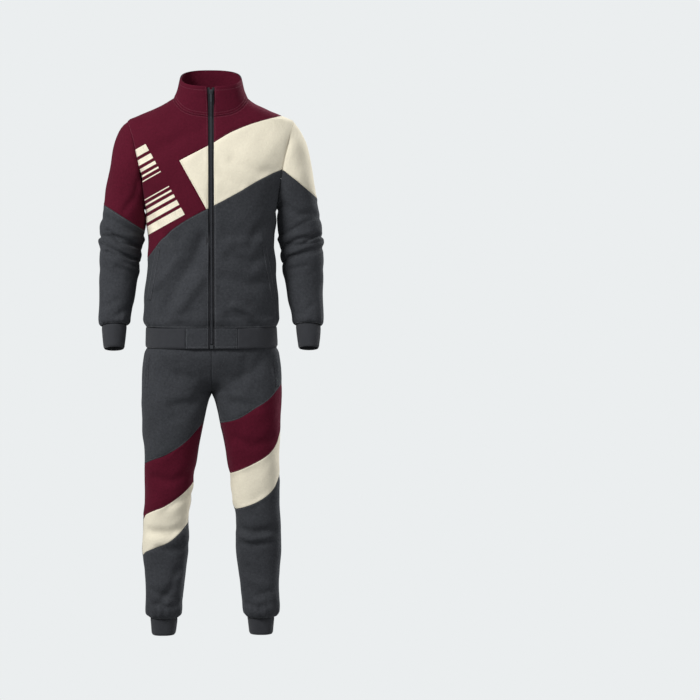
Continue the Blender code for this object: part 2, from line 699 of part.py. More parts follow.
def left_sleeve():
    """The left sleeve: its cream cap lies between the armhole and a slanting seam."""
    angles = sleeve_angles()
    front = float(armhole_angle(BAND_AT_ARMHOLE_FRONT))
    back = float(armhole_angle(BAND_AT_ARMHOLE_BACK))
    in_cap = (angles > -back - 1e-6) & (angles < front + 1e-6)
    least = 0.15
    seam = np.where(in_cap, np.maximum(left_seam_rings(angles), least), 0)
    cap = seam[in_cap] * spaced(0, 4, 1)[:, None]
    yield Panel("sleeve_left_upper", "cream", sleeve(angles[in_cap], cap))
    fixed = spaced(5.4, 2, 6, 4, 7, 3, 7.65, 3, 9, 1, 9.6, 1, 9.85, 1, 10)
    upper = seam + (5.4 - seam) * spaced(0, 4, 1)[:, None]
    rings = np.concatenate([upper, np.repeat(fixed[1:, None], len(angles), 1)])
    yield Panel("sleeve_left_lower", "charcoal", sleeve(angles, rings), closed=True)


def cuffs():
    angles = sleeve_angles()
    rings = spaced(10, 2, 12)
    for name, mirrored in (("left", False), ("right", True)):
        points = sleeve(angles, rings[:, None], SLEEVE_CUFF)
        yield Panel("cuff_" + name, "charcoal", points, closed=True, mirrored=mirrored)


def collar_panels():
    """The collar's two fronts and back, which stand on the neckline's own points."""
    share = spaced(0, 4, 1)[:, None]
    for name, side, steps in (("left", 1, 9), ("right", -1, 11)):
        around = beside_zip(FRONT_NECKLINE.rows[:1, 1], spaced(0, steps, 1))
        yield Panel("collar_" + name, "maroon", collar(side * around, share), out=side)
    ring = np.concatenate([spaced(1, 9, 2), spaced(2, 9, 3)[1:]])
    yield Panel("collar_back", "charcoal", collar(ring, share))


def collar_facing(left, back, right):
    """The collar's inner layer, which shows through the neck, on the same points as the collar."""
    def joined(field):
        grids = [getattr(panel, field) for panel in (left, back, right)]
        return np.concatenate([grids[0][:, 1:], grids[1][:, 1:-1], grids[2][:, :0:-1]], 1)

    facing = Panel("collar_facing", "maroon", joined("points"), thickness=TRIM_CLOTH,
                   sunk=CLOTH + SEAM)
    facing.normals = joined("normals")
    facing.points[0] += (facing.points[1] - facing.points[0]) * 0.3
    facing.normals[0] = facing.normals[1]
    return facing


def leg_rows(side, waist_levels):
    """Grids of a leg's front panels, bottom to top, between its seams."""
    seams = LEG_SEAMS[side]
    spans = {"shin": (150, 500), "cream": (250, 650), "maroon": (400, 760)}
    columns = spaced(0, 8, 1)
    line = {name: seam_height(leg, columns, seams[name], spans[name]) for name in seams}
    flat = np.ones(columns.shape)
    bounds = [
        ("shin", ANKLE_SEAM * flat, line["shin"], "charcoal", 7),
        ("cream", line["shin"], line["cream"], "cream", 3),
        ("maroon", line["cream"], line["maroon"], "maroon", 3),
    ]
    for name, low, high, colour, steps in bounds:
        even = np.linspace(0, 1, steps + 1)
        levels = even if name != "shin" else spaced(0, 2, 0.12, 5, 1)
        yield name, colour, columns, between_lines(columns, low, high, levels, levels)
    inner = np.concatenate([spaced(line["maroon"][-1], 2, CROTCH), waist_levels])
    even = np.linspace(0, 1, len(inner))
    heights = between_lines(columns, line["maroon"], WAIST_SEAM * flat, even, inner)
    yield "thigh", "charcoal", columns, heights


def back_columns():
    """Columns of a leg's back, whose first is the back's own side of the centre seam."""
    columns = spaced(1, 8, 2)
    columns[0] = np.nextafter(1, 2)
    return columns


def rise_levels():
    """Heights up the centre seam, closest together where it curves under the crotch."""
    curve = CROTCH + RISE_CURVE * (1 - np.cos(spaced(0, 4, math.pi / 2)[1:]))
    return np.concatenate([curve, [HEM - 3, HEM_SEAM, WAIST_SEAM]])


def trousers():
    """Both legs: fronts cut in colour panels, backs in one piece, and a cuff."""
    for side in ("right", "left"):
        mirrored = side == "left"
        panels, seams = [], []
        for name, colour, columns, heights in leg_rows(side, rise_levels()):
            points = leg(columns, heights)
            panels.append(Panel(f"leg_{side}_{name}", colour, points, mirrored=mirrored))
            seams.append(heights[1 if seams else 0:, [0, -1]])
        outer, inner = np.concatenate(seams).T
        columns = back_columns()
        heights = inner[:, None] * (2 - columns) + outer[:, None] * (columns - 1)
        back = Panel(f"leg_{side}_back", "charcoal", leg(columns, heights), mirrored=mirrored)
        ring = spaced(0, 16, 2)[:-1]
        cuff = leg(ring, spaced(0, 2, ANKLE_SEAM)[:, None], ANKLE_CUFF)
        panels += [
            back,
            Panel(f"ankle_cuff_{side}", "charcoal", cuff, closed=True, mirrored=mirrored),
        ]
        yield panels


def waistband():
    """The elastic band at the top of the trousers, under the jacket."""
    half = spaced(0, 8, 1)
    heights = spaced(WAIST_SEAM, 2, WAIST_TOP)[:, None]
    front, back = leg(half, heights), leg(back_columns(), heights)
    other_back, other_front = back[:, ::-1].copy(), front[:, ::-1].copy()
    other_back[..., 0] *= -1
    other_front[..., 0] *= -1
    ring = [front[:, :-1], other_front[:, :-1], other_back[:, :-1], back[:, :-1]]
    return Panel("waistband", "charcoal", np.concatenate(ring, 1), closed=True)


def welt(name, panel, heights, columns, lift):
    """A narrow strip on a panel between two heights, made from the panel's own points."""
    level = panel.points[:, round(columns[1]), 2]
    first, last = (int(np.argmin(np.abs(level - height))) for height in heights)
    points, normals = [], []
    for r in range(first, last + 1):
        near = columns[0] + (columns[1] - columns[0]) * (r - first) / (last - first)
        far = near + columns[2]
        ridge = math.ceil(near + 0.05)
        ridge = ridge if ridge < far - 0.05 else (near + far) / 2
        for field, grid in ((points, panel.points[r]), (normals, panel.normals[r])):
            i = np.arange(len(grid))
            field.append([[np.interp(c, i, part) for part in grid.T] for c in (near, ridge, far)])
    made = Panel(name, "charcoal", points, out=panel.out, thickness=TRIM_CLOTH,
                 sunk=-(TRIM_CLOTH + lift))
    made.normals = np.array(normals)
    return made


def welts(panels):
    """The pocket edges of the jacket and the trousers."""
    for side in ("left", "right"):
        panel = panels[f"front_{side}_lower"]
        yield welt("jacket_pocket_" + side, panel, (944, 1092), (7.3, 5.75, 0.55), 1.3)
        panel = panels[f"leg_{side}_thigh"]
        yield welt("trouser_pocket_" + side, panel, (700, 790), (0.2, 0.2, 0.6), SEAM)


def zip_line():
    """The centre front from the hem to the top of the collar, as points."""
    body = torso(0, np.concatenate([spaced(HEM, 2, HEM_SEAM, 2, 893, 12, 1300, 6, 1450)[:-1]]))
    neck = collar(0, spaced(0, 5, 1))
    return np.concatenate([body, neck])


def zip_tape(name, panels):
    """One of the zip's tapes, behind the strip of points that runs up the front edge."""
    points, normals = [], []
    for panel in panels:
        skip = max(panel.notch[0] + 1, 1) if points else 0
        points.append(panel.points[skip:, :2])
        normals.append(panel.normals[skip:, :2])
    points, normals = np.concatenate(points), np.concatenate(normals)
    slope = (points[:, 1] - points[:, 0]) / (points[:, 1:, 0] - points[:, :1, 0])
    side = np.sign(points[0, 0, 0])
    inner = points[:, 0] + slope * (side * (CHAIN_HALF + SEAM) - points[:, :1, 0])
    outer = points[:, 0] + slope * (side * TAPE_OUTER - points[:, :1, 0])
    tape = Panel(name, "zip", np.stack([inner, points[:, 0], outer], 1), out=side,
                 thickness=TAPE_CLOTH, sunk=CLOTH + SEAM)
    tape.normals = np.stack([normals[:, 0], normals[:, 0], normals[:, 1]], 1)
    return tape


def zip_chain():
    line = zip_line()
    lowest = HEM + 11
    chain = line[(line[:, 2] > lowest) & (line[:, 2] < SLIDER_HEIGHT - 4)]
    ends = [[0, np.interp(h, line[:, 2], line[:, 1]), h] for h in (lowest, SLIDER_HEIGHT)]
    chain = np.concatenate([ends[:1], chain, ends[1:]])
    points = np.stack([chain - [CHAIN_HALF, 0, 0], chain + [CHAIN_HALF, 0, 0]], 1)
    return Panel("zip_chain", "zip", points, thickness=CHAIN_DEEP + CHAIN_PROUD, sunk=-CHAIN_PROUD)


def block(shape, low, high):
    """A box between two corners, added to a bmesh."""
    low, high = Vector(low), Vector(high)
    size = high - low
    made = bmesh.ops.create_cube(shape, size=1.0)
    place = Matrix.Translation((low + high) / 2) @ Matrix.Diagonal((*size, 1.0))
    bmesh.ops.transform(shape, matrix=place, verts=made["verts"])


def rod(shape, radius, half_length, place, sides=12):
    """A round bar along x, added to a bmesh."""
    made = bmesh.ops.create_cone(
        shape, cap_ends=True, segments=sides, radius1=radius, radius2=radius, depth=2 * half_length
    )
    turn = Matrix.Translation(place) @ Matrix.Rotation(math.pi / 2, 4, "Y")
    bmesh.ops.transform(shape, matrix=turn, verts=made["verts"])


def hardware(name, parts, place, cut=None):
    """One solid joined from boxes and rods, in its own millimetres, set at a place."""
    pieces = []
    for make in parts + ([cut] if cut else []):
        shape = bmesh.new()
        make(shape)
        mesh = bpy.data.meshes.new(name)
        shape.to_mesh(mesh)
        shape.free()
        piece = bpy.data.objects.new(name + "_piece", mesh)
        bpy.context.scene.collection.objects.link(piece)
        pieces.append(piece)
    body = pieces[0]
    for i, piece in enumerate(pieces[1:], 1):
        join = body.modifiers.new("join", "BOOLEAN")
        join.object = piece
        join.operation = "DIFFERENCE" if cut and i == len(pieces) - 1 else "UNION"
        join.solver = "EXACT"
    graph = bpy.context.evaluated_depsgraph_get()
    mesh = bpy.data.meshes.new_from_object(body.evaluated_get(graph))
    for piece in pieces:
        bpy.data.objects.remove(piece)
    mesh.transform(Matrix.Translation(to_frame(place)) @ Matrix.Scale(0.001, 4))
    mesh.materials.clear()
    mesh.materials.append(make_material("zip"))
    obj = bpy.data.objects.new(name, mesh)
    bpy.context.scene.collection.objects.link(obj)
    obj.name = name
    return obj


def zip_hardware():
    """The slider on the chain's top end, its pull tab on a pin, and the box at the hem."""
    line = zip_line()
    top_y = float(np.interp(SLIDER_HEIGHT, line[:, 2], line[:, 1]))
    place = (0, top_y, SLIDER_HEIGHT)
    front, rear = -CHAIN_PROUD - 0.8, CHAIN_DEEP + 0.9
    pin_y = front - 3.8

    def plate(shape):
        block(shape, (-4.6, front - 1.2, -6), (4.6, front, 6))

    def core(shape):
        block(shape, (-2.2, front - 0.6, 0.8), (2.2, rear + 0.5, 5.6))

    def rear_plate(shape):
        block(shape, (-4.2, rear, -5), (4.2, rear + 0.9, 5.8))

    def ear(x):
        return lambda shape: block(shape, (x - 0.55, pin_y - 1.1, -1.6), (x + 0.55, front - 0.5, 1.6))

    def pin(shape):
        rod(shape, 0.7, 2.6, (0, pin_y, 0))

    hardware("zip_slider", [plate, core, rear_plate, ear(2.4), ear(-2.4), pin], place)

    def eye(shape):
        rod(shape, 2.1, 1.45, (0, pin_y, 0), sides=16)

    def neck(shape):
        block(shape, (-1.25, pin_y - 0.7, -9), (1.25, pin_y + 0.7, -1.5))

    def tab(shape):
        block(shape, (-2.8, pin_y - 0.85, -28), (2.8, pin_y + 0.85, -7.5))

    def hole(shape):
        rod(shape, 1.0, 5, (0, pin_y, 0), sides=16)

    hardware("zip_pull", [eye, neck, tab], place, cut=hole)

    hem_y = float(np.interp(HEM + 5, line[:, 2], line[:, 1]))

    def box(shape):
        block(shape, (-4.4, -1.4, -4.6), (4.4, 1.9, 5.4))

    hardware("zip_box", [box], (0, hem_y, HEM + 5.2))


def clear_scene():
    for obj in list(bpy.data.objects):
        bpy.data.objects.remove(obj)


def build():
    clear_scene()
    jacket = [*jacket_fronts(), jacket_back(), *hem_band()]
    jacket += [*right_sleeve(), *left_sleeve(), *cuffs(), *collar_panels()]
    garments = [jacket, *trousers(), [waistband()], [zip_chain()]]
    panels = {}
    for garment in garments:
        shared_normals(garment)
        panels.update({panel.name: panel for panel in garment})
    extra = [*welts(panels), collar_facing(*(panels["collar_" + n] for n in ("left", "back", "right")))]
    for side, cut in (("left", ("lower", "band", "yoke")), ("right", ("lower", "inset", "upper"))):
        edge = ["hem_tab_" + side, *(f"front_{side}_{name}" for name in cut), "collar_" + side]
        extra.append(zip_tape("zip_tape_" + side, [panels[name] for name in edge]))
    for panel in [*panels.values(), *extra]:
        make_wall(panel)
    zip_hardware()


build()
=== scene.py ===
"""Looks of the two-piece tracksuit: fleece and rib cloth in folded panels, stitching, zip and light.

The panels follow the same surfaces as the solids, in millimetres above the ankle hem, and are
moved to metres from the neck as they become meshes.
"""

import math

import bpy
import numpy as np
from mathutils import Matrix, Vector


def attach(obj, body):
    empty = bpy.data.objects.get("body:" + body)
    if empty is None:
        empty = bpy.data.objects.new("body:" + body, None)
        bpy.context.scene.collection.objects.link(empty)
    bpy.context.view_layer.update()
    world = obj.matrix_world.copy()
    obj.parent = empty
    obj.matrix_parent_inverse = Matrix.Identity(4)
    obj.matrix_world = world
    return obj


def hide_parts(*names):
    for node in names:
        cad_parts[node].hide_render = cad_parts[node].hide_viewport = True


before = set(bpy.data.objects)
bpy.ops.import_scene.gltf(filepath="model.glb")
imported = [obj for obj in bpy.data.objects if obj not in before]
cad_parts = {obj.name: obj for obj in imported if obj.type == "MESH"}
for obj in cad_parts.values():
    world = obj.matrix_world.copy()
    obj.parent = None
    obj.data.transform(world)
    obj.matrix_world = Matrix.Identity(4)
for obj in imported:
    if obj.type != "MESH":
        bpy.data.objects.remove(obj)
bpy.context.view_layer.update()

BODY = "garment"

# Cloth and seams, in millimetres
CLOTH, TRIM_CLOTH, TAPE_CLOTH = 2.0, 1.2, 0.8
SEAM = 0.4
NECK_HEIGHT = 1505.0
SQUARENESS = 0.8
GRID = 5.0
EDGE_ROWS = [0, 0.7, 1.5, 2.4, 3.3, 4.3, 5.8]
SEAM_ROLL, SEAM_DIP = 1.9, 0.9
GROOVE_WIDTH, GROOVE_DEPTH = 1.3, 0.7
ELASTIC = {"dip": 2.0, "roll": 2.8}
STITCH_PITCH, STITCH_SINK = 3.4, 0.3
STITCH_SIZE = (2.8, 1.0, 0.9)

# Jacket
HEM, HEM_SEAM = 812.0, 869.0
ARMPIT_X, ARMPIT = 183.0, 1196.0
SHOULDER_X, SHOULDER = 232.0, 1439.0
ARMHOLE_Y, ARMHOLE_DEPTH = 4.0, 76.0
ARMHOLE_TURN = 28.0
BAND_AT_ARMHOLE_FRONT, BAND_AT_ARMHOLE_BACK = 1306.0, 1285.0
COLLAR_FRONT_TOP, COLLAR_BACK_TOP = 1534.0, 1586.0
COLLAR_TOP = {"half_width": 85.0, "front": 81.0, "back": 62.0, "side": -5.0}
COLLAR_HOLLOW = 5.0
NECK_HALF_WIDTH = 104.0
INSET_ZIP_TOP, INSET_POINT, INSET_FOOT = 1370.0, (-87.0, 1329.0), -13.0
INSET_FOOT_LEVEL, INSET_ZIP_LEVEL = 1196.0, 1200.0
HEM_TAB = 71.0
QUARTER_GIRTH, TORSO_FOLDS_TOP = 245.0, 1180.0

# Zip
ZIP_OPENING, TAPE_INNER, TAPE_OUTER, STRIP_END = 8.0, 3.4, 14.0, 15.0
SLIDER_HEIGHT = 1519.0
TAPE_COLUMNS = [TAPE_INNER, 4.6, 6.2, ZIP_OPENING, 10, 12, TAPE_OUTER]
TAPE_TOP = 0.955
TOOTH_PITCH, TOOTH_SINK, TOOTH_ASIDE = 2.1, 1.3, 1.25
TOOTH_SIZE = (3.5, 0.95, 2.7)

# Trousers
CROTCH, RISE_CURVE = 685.0, 112.0
HIP_LOW, HIP_HIGH = 610.0, 800.0
WAIST_SEAM, WAIST_TOP = 920.0, 962.0
ANKLE_SEAM = 48.0
QUARTER_LEG, LEG_FOLDS_TOP = 190.0, 800.0


class Sections:
    """Rows of sizes with named columns, read on a smooth monotone curve between the rows."""

    def __init__(self, columns, rows):
        self.columns = columns.split()
        self.rows = np.array(rows, float)

    def at(self, where, column):
        x, y = self.rows[:, 0], self.rows[:, self.columns.index(column)]
        gap, slope = np.diff(x), np.diff(y) / np.diff(x)
        turns = slope[:-1] * slope[1:] > 0
        mean = 2 * slope[:-1] * slope[1:] / np.where(turns, slope[:-1] + slope[1:], 1)
        tangent = np.concatenate([slope[:1], np.where(turns, mean, 0), slope[-1:]])
        where = np.asarray(where, float)
        i = np.clip(np.searchsorted(x, where) - 1, 0, len(gap) - 1)
        t = (where - x[i]) / gap[i]
        bend = (1 - t) * t * (
            (1 - t) * (tangent[i] - slope[i]) - t * (tangent[i + 1] - slope[i])
        )
        inside = y[i] + (y[i + 1] - y[i]) * t + gap[i] * bend
        low = y[0] + tangent[0] * (where - x[0])
        high = y[-1] + tangent[-1] * (where - x[-1])
        return np.where(t < 0, low, np.where(t > 1, high, inside))


# The jacket's body from hem to neck. Above the shoulder the half width is the shoulder line's.
TORSO = Sections("height half_width front back", [
    (812, 185.0, 128, 126),
    (869, 183.0, 127, 125),
    (893, 188.0, 134, 131),
    (965, 185.0, 132, 127),
    (1040, 178.5, 127, 121),
    (1110, 176.5, 126, 119),
    (1170, 178.5, 128, 122),
    (1189, 179.5, 128, 123),
    (1196, 183.0, 128, 124),
    (1250, 190.0, 127, 128),
    (1318, 207.0, 120, 127),
    (1380, 220.0, 104, 117),
    (1439, 232.0, 80, 97),
    (1457, 196.0, 72, 92),
    (1472, 160.0, 67, 87),
    (1491, 121.0, 62, 81),
    (1505, 104.0, 60, 76),
    (1520, 98.0, 59, 71),
])
# Seam lines of the jacket as the front and back views show them.
DIAGONAL_SEAM = Sections("x height", [
    (-178, 1060), (-126, 1124), (-70, 1165), (10, 1207), (77, 1243), (131, 1275), (197, 1306),
])
YOKE_SEAM = Sections("x height", [
    (0, 1374), (58, 1409), (120, 1434), (157, 1445), (197, 1456),
])
FRONT_NECKLINE = Sections("x height", [(0, 1450), (50, 1457), (75, 1467), (98, 1491), (104, 1505)])
BACK_NECKLINE = Sections("x height", [(0, 1518), (60, 1516), (90, 1511), (104, 1505)])

# The sleeve's rings, from the armhole down, each through an outer and an inner point.
SLEEVE = Sections("ring outer_x outer_h inner_x inner_h y depth tilt bow", [
    (0, 232, 1439, 183.0, 1196, 4, 76, 0, 8),
    (1, 249, 1417, 185.0, 1195, 4, 79, 0, 6),
    (2, 262, 1390, 187.0, 1191, 4, 79, 0, 4),
    (3, 276, 1345, 188.0, 1183, 5, 77, 0, 2),
    (4, 287, 1285, 188.5, 1168, 7, 73, 0, 0),
    (5, 300, 1208, 188.5, 1137, 11, 68, 2, 0),
    (6, 308, 1148, 190.0, 1112, 14, 65, 4, 0),
    (7, 311, 1103, 197.0, 1062, 14, 62, 7, 0),
    (8, 313, 1047, 204.0, 1018, 10, 59, 9, 0),
    (9, 313, 960, 215.0, 948, -3, 53, 12, 0),
    (9.6, 312, 900, 226.0, 898, -17, 47, 13, 0),
    (9.85, 310, 880, 229.0, 882, -22, 44, 13, 0),
    (10, 305, 871, 235.0, 873, -24, 38, 13, 0),
])
SLEEVE_CUFF = Sections("ring outer_x outer_h inner_x inner_h y depth tilt bow", [
    (10, 305, 871, 235, 873, -24, 38, 13, 0),
    (11, 303, 840, 238, 841, -32, 37, 13, 0),
    (12, 299, 808, 242, 809, -40, 35, 13, 0),
])
RIGHT_SLEEVE_SEAM, LEFT_SLEEVE_SEAM = 5.0, 4.75
LEVEL_RING = 5.2
RING_LENGTH = 88.0
# The crests and troughs that ring the elbow, each strongest at one angle round the sleeve.
ELBOW_FOLDS = Sections("ring reach depth angle", [
    (5.58, 0.15, -3.0, 0.4),
    (6.08, 0.24, 4.6, 3.0),
    (6.55, 0.12, -6.0, 1.2),
    (6.98, 0.22, 4.8, -0.5),
    (7.42, 0.12, -4.5, 2.4),
    (7.85, 0.26, 2.4, 2.9),
    (8.35, 0.16, -1.6, 0.6),
])

# One trouser leg and its half of the hips. The inner edge is the inseam, and above the
# crotch the centre seam. Front, back and side are distances from y = 0.
LEG = Sections("height outer inner front back side", [
    (48, 175.0, 98, 27, 62, 18),
    (60, 185.0, 89, 42, 75, 17),
    (101, 186.5, 84, 50, 80, 16),
    (185, 190.0, 73, 53, 88, 14),
    (241, 195.0, 67, 56, 92, 12),
    (325, 192.0, 67, 67, 84, 6),
    (381, 189.0, 59, 73, 84, 4),
    (493, 189.0, 43, 85, 94, 4),
    (605, 193.0, 21, 98, 106, 4),
    (661, 196.0, 8, 105, 114, 5),
    (685, 196.0, 0, 108, 118, 6),
    (740, 195.0, 0, 115, 126, 6),
    (795, 188.0, 0, 120, 127, 5),
    (812, 179.8, 0, 118.0, 116.5, 4),
    (869, 177.5, 0, 117.0, 115.5, 4),
    (920, 163.0, 0, 112, 112, 4),
    (962, 158.0, 0, 108, 108, 4),
])
ANKLE_CUFF = Sections("height outer inner front back side", [
    (0, 171, 104, 24, 60, 18),
    (48, 175, 98, 27, 62, 18),
])
LEG_SEAMS = {
    "right": {
        "maroon": Sections("x height", [(27, 597), (78, 546), (126, 516), (185, 489), (193, 475)]),
        "cream": Sections("x height", [(52, 432), (89, 398), (126, 373), (185, 344), (193, 326)]),
        "shin": Sections("x height", [(68, 314), (94, 290), (126, 266), (188, 237), (196, 222)]),
    },
    "left": {
        "maroon": Sections("x height", [(27, 601), (72, 615), (120, 644), (158, 668), (194, 706)]),
        "cream": Sections("x height", [(50, 459), (109, 486), (158, 515), (182, 545), (192, 575)]),
        "shin": Sections("x height", [(70, 360), (120, 379), (152, 398), (174, 419), (189, 450)]),
    },
}

# Soft folds: where each lies, its direction from the horizontal, its size and its depth.
# "around" is 0 at the zip, 1 at the side, 2 at the centre back, minus on the wearer's right.
TORSO_FOLDS = Sections("around height turn length width depth", [
    (-1.55, 1030, 88, 190, 20, -5),
    (-0.86, 1135, 52, 55, 14, -4),
    (-0.62, 990, 62, 105, 26, 4),
    (-0.43, 1010, 60, 110, 24, -4),
    (-0.30, 905, 15, 60, 11, -3),
    (0.33, 905, -18, 70, 12, -4),
    (0.58, 938, -32, 75, 18, 5),
    (0.84, 1140, -52, 55, 14, -4),
    (1.45, 1010, 86, 200, 22, -6),
    (1.62, 1060, 88, 170, 22, 4),
    (1.98, 930, 90, 70, 13, -6),
    (2.14, 925, 92, 60, 12, 4),
])
# On a leg "around" is 0 at the side seam, 1 at the inseam and 2 at the side seam again.
LEG_FOLDS = Sections("around height turn length width depth", [
    (0.30, 752, 70, 45, 12, -4),
    (0.48, 120, -22, 50, 11, -5),
    (0.50, 300, 12, 60, 13, -3),
    (0.62, 160, 20, 50, 14, 4),
    (0.70, 655, 42, 60, 15, -5),
    (0.72, 770, 84, 40, 11, -4),
    (1.30, 352, 24, 60, 12, -6),
    (1.36, 385, 28, 60, 12, 5),
    (1.50, 640, -35, 70, 18, -5),
    (1.55, 418, -20, 60, 12, -5),
    (1.60, 330, -18, 55, 12, 4),
    (1.62, 110, 18, 50, 11, -4),
])


def arc(turn, end):
    """Sideways and forward shares, 0 to 1, along a squarish arc that stops at the angle end."""
    across = (np.sin(turn) / np.sin(end)) ** SQUARENESS
    sweep = (1 - np.cos(turn) ** SQUARENESS) / (1 - np.cos(end) ** SQUARENESS)
    return across, sweep


def armhole_angle(height):
    """Angle round the armhole at a height: 0 at the shoulder, pi at the armpit."""
    middle, reach = (SHOULDER + ARMPIT) / 2, (SHOULDER - ARMPIT) / 2
    return np.arccos(np.clip((height - middle) / reach, -1, 1))


def side_edge(height):
    """Half width, half depth of the armhole and end angle of the body's arc at a height."""
    round_armhole = np.sin(armhole_angle(height))
    straight = ARMPIT_X + (SHOULDER_X - ARMPIT_X) * (height - ARMPIT) / (SHOULDER - ARMPIT)
    bowed = straight - SLEEVE.at(0, "bow") * round_armhole**2
    in_armhole = (height > ARMPIT) & (height < SHOULDER)
    width = np.where(in_armhole, bowed, TORSO.at(height, "half_width"))
    end = np.radians(90 - ARMHOLE_TURN * round_armhole)
    return width, ARMHOLE_DEPTH * round_armhole, end


def soft_folds(table, around, height, millimetres_around):
    """Height of the soft folds of a table over a surface."""
    total = np.zeros(np.broadcast(around, height).shape)
    for place, level, turn, length, width, depth in table.rows:
        aside = (around - place) * millimetres_around
        up = height - level
        c, s = math.cos(math.radians(turn)), math.sin(math.radians(turn))
        along, across = aside * c + up * s, up * c - aside * s
        total += depth * np.exp(-((along / length) ** 2) - (across / width) ** 2)
    return total


def torso(around, height):
    """A point of the jacket's body."""
    around, height = np.broadcast_arrays(np.asarray(around, float), np.asarray(height, float))
    wrapped = np.where(around > 2, around - 4, around)
    turn = np.abs(wrapped)
    in_front = turn <= 1
    share = np.where(in_front, turn, 2 - turn)
    width, opening, end = side_edge(height)
    across, sweep = arc(share * end, end)
    depth = np.where(in_front, -TORSO.at(height, "front"), TORSO.at(height, "back"))
    edge = ARMHOLE_Y + np.where(in_front, -opening, opening)
    x, y = width * across, depth + (edge - depth) * sweep
    fade = np.clip((height - HEM_SEAM) / 20, 0, 1) * np.clip((TORSO_FOLDS_TOP - height) / 40, 0, 1)
    lift = soft_folds(TORSO_FOLDS, wrapped, height, QUARTER_GIRTH) * fade
    reach = np.hypot(x / width**2, y / depth**2)
    x = x + lift * x / width**2 / reach
    y = y + lift * y / depth**2 / reach
    return np.stack([np.sign(wrapped + 1e-12) * x, y, height], -1)


def sleeve(angle, ring, table=SLEEVE):
    """A point of the wearer's left sleeve: angle 0 is its outer side, a quarter turn its front."""
    angle, ring = np.broadcast_arrays(np.asarray(angle, float), np.asarray(ring, float))
    outer_x, outer_h, inner_x, inner_h, y, depth, tilt, bow = (
        table.at(ring, name) for name in table.columns[1:]
    )
    lift = np.zeros(angle.shape)
    for level, reach, height, strongest in ELBOW_FOLDS.rows:
        side = 0.62 + 0.38 * np.cos(angle - strongest)
        wander = 0.1 * np.sin(2 * angle + 5 * level)
        lift += height * side * np.exp(-(((ring - level - wander) / reach) ** 2))
    half = np.hypot(outer_x - inner_x, outer_h - inner_h) / 2
    grown = 1 + lift / half
    tilt = np.radians(tilt)
    x = (outer_x + inner_x) / 2 + (outer_x - inner_x) / 2 * np.cos(angle) * grown
    x = x - bow * np.sin(angle) ** 2
    h = (outer_h + inner_h) / 2 + (outer_h - inner_h) / 2 * np.cos(angle) * grown
    h = h + depth * np.sin(angle) * np.sin(tilt)
    y = y - depth * grown * np.sin(angle) * np.cos(tilt)
    return np.stack([x, y, h], -1)


def collar(around, share):
    """A point of the collar: share 0 is the neckline and 1 its top edge."""
    around, share = np.broadcast_arrays(np.asarray(around, float), np.asarray(share, float))
    wrapped = np.where(around > 2, around - 4, around)
    turn = np.abs(wrapped)
    front = turn <= 1
    line = np.where(
        front,
        seam_height(torso, turn, FRONT_NECKLINE, (1440, 1510)),
        seam_height(torso, turn, BACK_NECKLINE, (1500, 1525)),
    )
    base = torso(turn, line)
    depth = np.where(front, COLLAR_TOP["front"], COLLAR_TOP["back"])
    bearing = np.arctan2(base[..., 0] / NECK_HALF_WIDTH, np.abs(base[..., 1] - ARMHOLE_Y) / ARMHOLE_DEPTH)
    across, sweep = arc(bearing, math.pi / 2)
    top_x = COLLAR_TOP["half_width"] * across
    top_y = np.where(front, -depth, depth)
    top_y = top_y + (COLLAR_TOP["side"] - top_y) * sweep
    reach = (top_y + COLLAR_TOP["front"]) / (COLLAR_TOP["front"] + COLLAR_TOP["back"])
    top_h = COLLAR_FRONT_TOP + (COLLAR_BACK_TOP - COLLAR_FRONT_TOP) * reach
    top = np.stack([top_x, top_y, top_h], -1)
    point = base + (top - base) * share[..., None]
    hollow = COLLAR_HOLLOW * np.sin(np.pi * share) * (1 - share)
    point[..., 0] -= hollow * across
    point[..., 0] *= np.sign(wrapped + 1e-12)
    return point


def leg(around, height, table=LEG):
    """A point of the wearer's right leg: around 0 is the side seam, 1 the inseam or centre seam."""
    around, height = np.broadcast_arrays(np.asarray(around, float), np.asarray(height, float))
    outer, inner, front, back, side = (table.at(height, name) for name in table.columns[1:])
    inner = np.where(height < CROTCH, inner, 0)
    in_front = around <= 1
    share = np.where(in_front, around, 2 - around)
    depth = np.where(in_front, -front, back) - side
    quarter, half = share * math.pi / 2, share * math.pi
    hip_x = -outer * np.cos(quarter) ** SQUARENESS
    hip_y = side + depth * np.sin(quarter) ** SQUARENESS
    swing = np.sign(np.cos(half)) * np.abs(np.cos(half)) ** SQUARENESS
    leg_x = -(outer + inner) / 2 - (outer - inner) / 2 * swing
    leg_y = side + depth * np.abs(np.sin(half)) ** SQUARENESS
    rise = np.clip((height - CROTCH) / RISE_CURVE, 0, 1)
    arch = np.sqrt(rise * (2 - rise))
    climb = np.clip((height - HIP_LOW) / (HIP_HIGH - HIP_LOW), 0, 1)
    flow = climb**2 * (3 - 2 * climb)
    hip = flow + (arch - flow) * share**3
    x, y = leg_x + (hip_x - leg_x) * hip, leg_y + (hip_y - leg_y) * hip
    fade = np.clip((LEG_FOLDS_TOP - height) / 25, 0, 1) * np.clip((height - ANKLE_SEAM) / 25, 0, 1)
    fade = fade * np.clip((1 - share) * 8, 0, 1) * np.clip(share * 8, 0, 1)
    lift = soft_folds(LEG_FOLDS, around, height, QUARTER_LEG) * fade
    middle_x = -(outer + inner) / 2
    reach = np.hypot(x - middle_x, y - side) + 1e-9
    x, y = x + lift * (x - middle_x) / reach, y + lift * (y - side) / reach
    return np.stack([x, y, height], -1)


